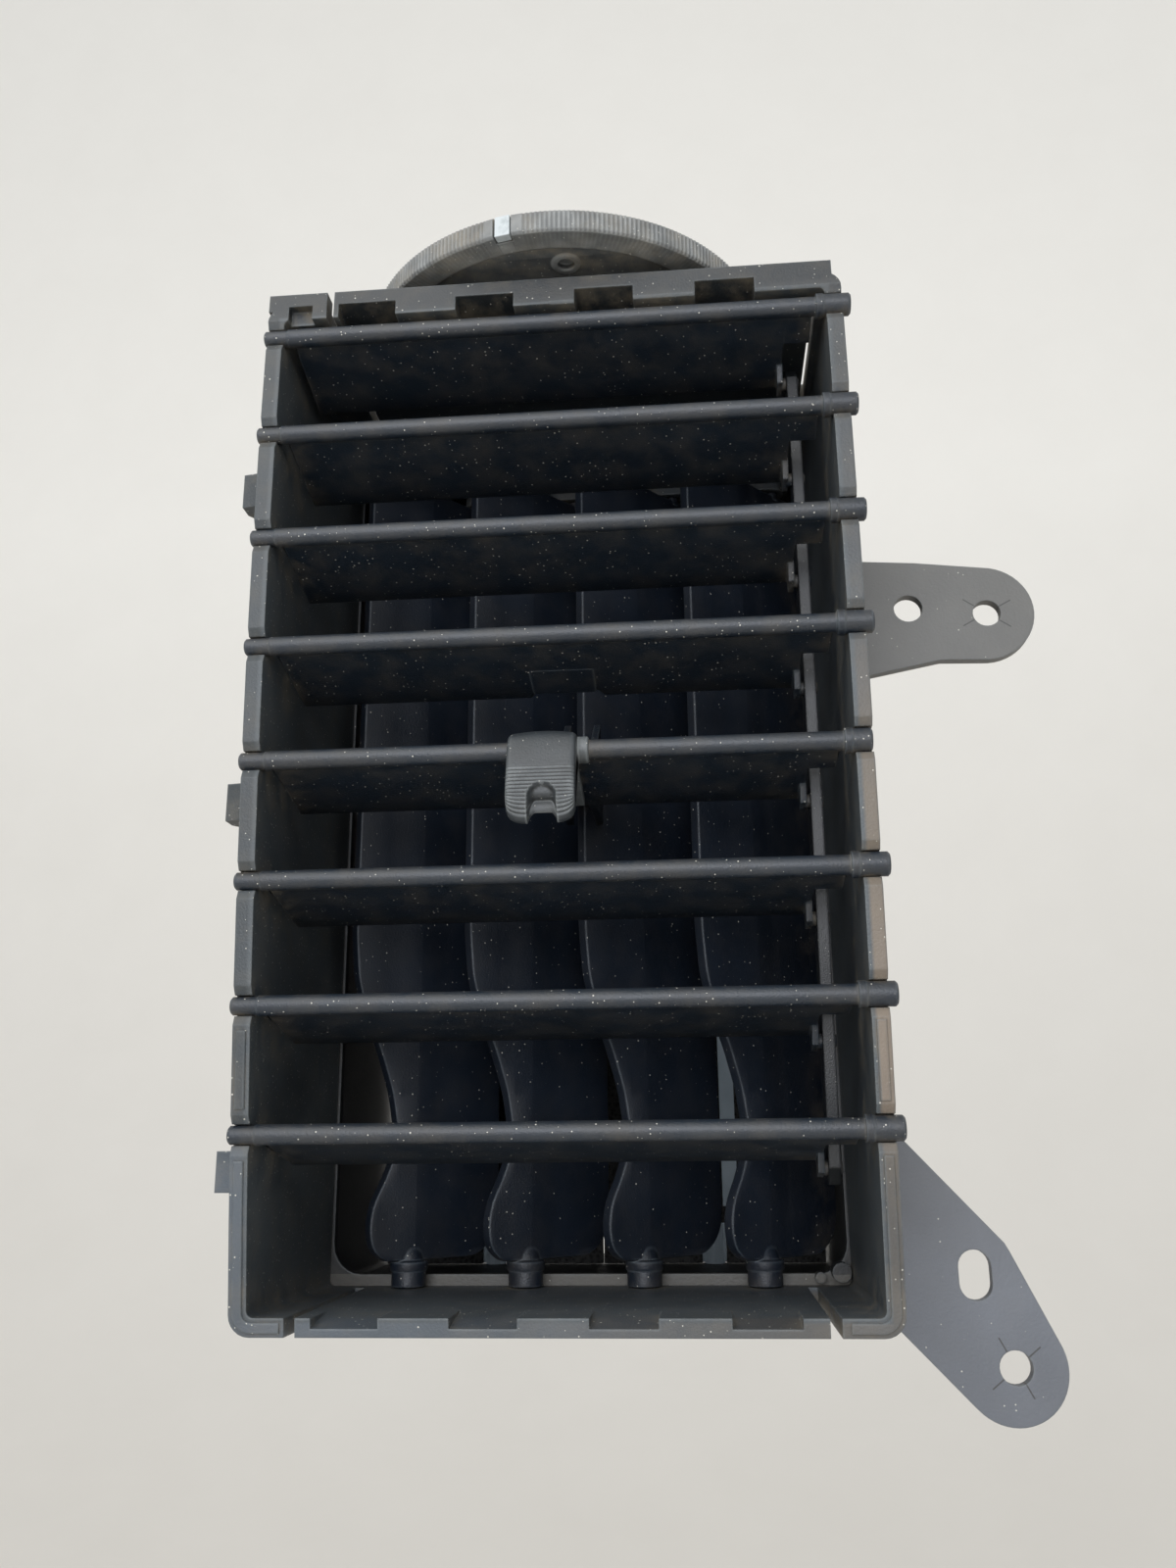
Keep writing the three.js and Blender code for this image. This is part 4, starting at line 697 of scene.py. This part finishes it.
# The louvres' nylon, painted darker and bluer for the shade behind the louvres, with pale edges painted for
# wear and as painted highlight.
vane_black = moulded_plastic(
    "moulded nylon blend, vanes", "161d27", "77828a", "5c5346", 0.42, 0.3, 0.9, 0.4, 0.4)
for number in range(1, 5):
    x, y = (np.array(joints[f"vane_{number}_turn"]["pos_m"]) * 1000 - datum)[:2]
    # Blade, stub shaft and domed collar, upper shaft, and the pin that the vane link holds.
    pin = (x + 12 * math.sin(VANE_TURN), y + 12 * math.cos(VANE_TURN))
    shells = [
        vane_blade((x, y)),
        turned([
            (1.5, -27.2), (1.5, -24.8), (2.9, -24.5), (2.9, -22.1), (3.1, -22.0), (3.2, -21.8), (3.2, -20.7),
            (3.0, -20.5), (2.4, -20.3), (2.2, -19.4), (1.8, -18.5), (1.2, -17.9), (0.3, -17.7)], (x, y)),
        turned([(2.9, 123.2), (2.9, 129.9), (1.5, 129.9), (1.5, 132.6), (1.3, 132.8)], (x, y)),
        turned([(1.2, 123), (1.2, 126.8), (1.0, 127)], pin),
    ]
    vane = f"vane_{number}"
    make_piece(vane + "_blade", shells, vane, vane, vane_black)

# Vane link --------------------------------------------------------------------------------
# A bar over the vanes' tops that keeps them parallel, clipped over a pin on each. It is moulded
# in the same black ABS as the shroud.
softened_copy("vane_link", 0.3, "vane_link", black_abs)

# Thumbwheel -------------------------------------------------------------------------------
# Shuts the vent. Moulded ABS with a knurled rim, smooth beside the white marker; the crests of the knurls are
# painted pale, for rubbing and as painted highlight. Its web is thin and dusty, with a pip hole near the
# front.

WHEEL_RADIUS, RIM_INSIDE, KNURLS, MARKER = 35.5, 31, 286, 11.5
WHEEL_BOTTOM, WEB_BOTTOM, WEB_TOP, WHEEL_TOP = 139.0, 139.6, 141.2, 143.0
wheel_centre = np.array(joints["thumbwheel_turn"]["pos_m"])[:2] * 1000 - datum[:2]


def wheel_rim():
    """Ring of the wheel: a rectangular section with small chamfers carried round the axis. The outer face is
    drawn in by shallow waves, one per knurl, and cut back behind the marker; the waves stop beside it."""
    steps = KNURLS * 6
    a = np.linspace(0, 2 * math.pi, steps, endpoint=False)
    off = np.degrees((a - math.radians(270 - MARKER) + math.pi) % (2 * math.pi) - math.pi)
    live = np.clip((np.abs(off) - 5.2) / 0.5, 0, 1)
    worn = 0.75 + 0.25 * np.sin(a * 7.3 + 1.1) * np.sin(a * 3.1)
    drawn_in = 0.32 * live * worn * (0.5 + 0.5 * np.cos(a * KNURLS)) ** 0.8
    drawn_in = np.where(np.abs(off) < 2.35, 1.9, drawn_in)
    radius = np.array([
        RIM_INSIDE, RIM_INSIDE, WHEEL_RADIUS - 0.45, WHEEL_RADIUS,
        WHEEL_RADIUS, WHEEL_RADIUS - 0.45, RIM_INSIDE])
    height = np.array([WEB_BOTTOM, WHEEL_BOTTOM, WHEEL_BOTTOM, 139.4, 142.6, WHEEL_TOP, WHEEL_TOP])
    outer = np.array([0, 0, 0.6, 1, 1, 0.6, 0])
    r = radius[None] - drawn_in[:, None] * outer[None]
    x = wheel_centre[0] + r * np.cos(a)[:, None]
    y = wheel_centre[1] + r * np.sin(a)[:, None]
    points = np.stack([x, y, np.repeat(height[None], steps, 0)], -1)
    return points.reshape(-1, 3), grid_quads(steps, 7, True, True).tolist()


def plate_with_holes(outline, holes, low, high, rounding=0.12):
    """A flat plate between two heights: a filled 2-D curve with round-cornered outline and holes."""
    curve = bpy.data.curves.new("plate", "CURVE")
    curve.dimensions = "2D"
    curve.fill_mode = "BOTH"
    curve.extrude = (high - low) / 2 - rounding
    curve.bevel_depth = rounding
    curve.bevel_resolution = 1
    curve.offset = -rounding
    for loop in [outline, *holes]:
        spline = curve.splines.new("POLY")
        spline.points.add(len(loop) - 1)
        flat = np.column_stack([loop, np.zeros(len(loop)), np.ones(len(loop))])
        spline.points.foreach_set("co", flat.ravel())
        spline.use_cyclic_u = True
    carrier = bpy.data.objects.new("plate", curve)
    bpy.context.scene.collection.objects.link(carrier)
    mesh = bpy.data.meshes.new_from_object(carrier.evaluated_get(bpy.context.evaluated_depsgraph_get()))
    points = np.empty(len(mesh.vertices) * 3)
    mesh.vertices.foreach_get("co", points)
    faces = [list(polygon.vertices) for polygon in mesh.polygons]
    bpy.data.objects.remove(carrier)
    bpy.data.meshes.remove(mesh)
    return points.reshape(-1, 3) + [0, 0, (low + high) / 2], faces


def circle(centre, radius, steps=48):
    """Points of a circle in the plane of the wheel."""
    a = np.linspace(0, 2 * math.pi, steps, endpoint=False)
    return np.column_stack([centre[0] + radius * np.cos(a), centre[1] + radius * np.sin(a)])


def ring_tube(profile, centre, steps=48):
    """Closed ring of revolution: profile is a closed loop of (radius, height) about an upright axis."""
    a = np.linspace(0, 2 * math.pi, steps, endpoint=False)
    r, h = np.asarray(profile, float).T
    x = centre[0] + r[None] * np.cos(a)[:, None]
    y = centre[1] + r[None] * np.sin(a)[:, None]
    points = np.stack([x, y, np.repeat(h[None], steps, 0)], -1)
    return points.reshape(-1, 3), grid_quads(steps, len(r), True, True).tolist()


# ABS greyed by years of fingers and settled dust, with the knurls' crests painted pale for rubbing and as
# painted highlight.
wheel_plastic = moulded_plastic(
    "moulded ABS, handled grey", "3c3f41", "a3a6a5", "a09580", 0.42, 0.3, 0.8, 0.8, 1.0, 8, crest=1.0)
# The pin that drives the coupler stands under the web, 10 mm out from the axis.
crank_pin = wheel_centre + 10 * np.array([-math.sqrt(0.5), math.sqrt(0.5)])
pip = (2.5, -5.3)
make_piece(
    "thumbwheel_body",
    [wheel_rim(),
     plate_with_holes(
         circle(wheel_centre, 31.4, 96), [circle(wheel_centre, 3), circle(pip, 1.45, 24)],
         WEB_BOTTOM, WEB_TOP),
     turned([(1.55, 140.6), (1.55, 141.1)], pip, 24),
     ring_tube(
         [(2.65, 138.8), (6.2, 138.8), (6.4, 139.0), (6.4, 142.7), (6.1, 143.0), (2.65, 143.0)], wheel_centre),
     ring_tube([(1.45, 139.3), (2.3, 139.3), (2.45, 139.45), (2.45, 139.8), (1.45, 139.8)], pip, 32),
     turned([(1.5, 139.8), (1.5, 136.9), (1.3, 136.6)], crank_pin, 24)],
    "thumbwheel", "thumbwheel", wheel_plastic)

# Pad-printed white, soiled to a pale grey in the hollows of the grain.
inlay, tree, out = new_material("white marker inlay, matt")
place = add_node(tree, "ShaderNodeTexCoord")
soil = add_node(tree, "ShaderNodeTexNoise", Vector=(place, "Object"), Scale=1000 / 1.2, Detail=4.0)
whites = add_node(tree, "ShaderNodeValToRGB", Fac=(soil, "Fac"))
whites.color_ramp.elements[0].position, whites.color_ramp.elements[0].color = 0.25, linear("98a0a2")
whites.color_ramp.elements[1].position, whites.color_ramp.elements[1].color = 0.5, linear("b4bbbd")
paint = add_node(tree, "ShaderNodeBsdfPrincipled", Base_Color=(whites, "Color"), Roughness=0.5)
tree.links.new(paint.outputs["BSDF"], out.inputs["Surface"])
softened_copy("wheel_marker", 0.15, "thumbwheel", inlay)

# Wheel screw ------------------------------------------------------------------------------
# Cross-recess screw that holds the wheel down on its post and lets it turn. It is cold-headed
# steel, plated with zinc.

# Passivated zinc: a cool, blotchy silver, duller where it has aged.
zinc, tree, out = new_material("zinc-plated steel, passivated")
place = add_node(tree, "ShaderNodeTexCoord")
blotch = add_node(tree, "ShaderNodeTexNoise", Vector=(place, "Object"), Scale=1000 / 1.5, Detail=3.0)
silver = add_node(tree, "ShaderNodeValToRGB", Fac=(blotch, "Fac"))
silver.color_ramp.elements[0].position, silver.color_ramp.elements[0].color = 0.3, linear("9fa3a5")
silver.color_ramp.elements[1].position, silver.color_ramp.elements[1].color = 0.7, linear("c9cac6")
dull = add_node(tree, "ShaderNodeMapRange", Value=(blotch, "Fac"), To_Min=0.22, To_Max=0.5)
metal = add_node(
    tree, "ShaderNodeBsdfPrincipled", Base_Color=(silver, "Color"), Roughness=(dull, "Result"), Metallic=1.0)
tree.links.new(metal.outputs["BSDF"], out.inputs["Surface"])
softened_copy("wheel_screw", 0.2, "housing", zinc)

# Dampers and coupler ----------------------------------------------------------------------
# Two leaves on upright shafts shut the duct. Each is faced with foam; a crank on each shaft is
# pinned to one coupler plate, which the thumbwheel's own pin drives.

# The leaf is thin and lets some daylight from behind glow through where its facing is split.
leaf_pp, tree, out = new_material("thin talc-filled polypropylene, translucent grey")
place = add_node(tree, "ShaderNodeTexCoord")
mottle = add_node(tree, "ShaderNodeTexNoise", Vector=(place, "Object"), Scale=1000 / 6.0, Detail=4.0)
greys = add_node(tree, "ShaderNodeValToRGB", Fac=(mottle, "Fac"))
greys.color_ramp.elements[0].position, greys.color_ramp.elements[0].color = 0.3, linear("a2aab2")
greys.color_ramp.elements[1].position, greys.color_ramp.elements[1].color = 0.7, linear("b0b8bf")
skin = add_node(tree, "ShaderNodeBsdfPrincipled", Base_Color=(greys, "Color"), Roughness=0.5)
glow = add_node(tree, "ShaderNodeBsdfTranslucent", Color=(greys, "Color"))
leaf_mix = add_node(tree, "ShaderNodeMixShader", None, n0=0.85, n1=(skin, "BSDF"), n2=(glow, "BSDF"))
tree.links.new(leaf_mix.outputs["Shader"], out.inputs["Surface"])
for side in ("left", "right"):
    softened_copy(f"damper_leaf_{side}", 0.3, f"damper_{side}", leaf_pp)
    softened_copy(f"damper_seal_{side}", 0.12, f"damper_{side}", foam)
    softened_copy(f"damper_crank_{side}", 0.25, f"damper_{side}", black_abs)
softened_copy("coupler_plate", 0.25, "coupler_plate", black_abs)
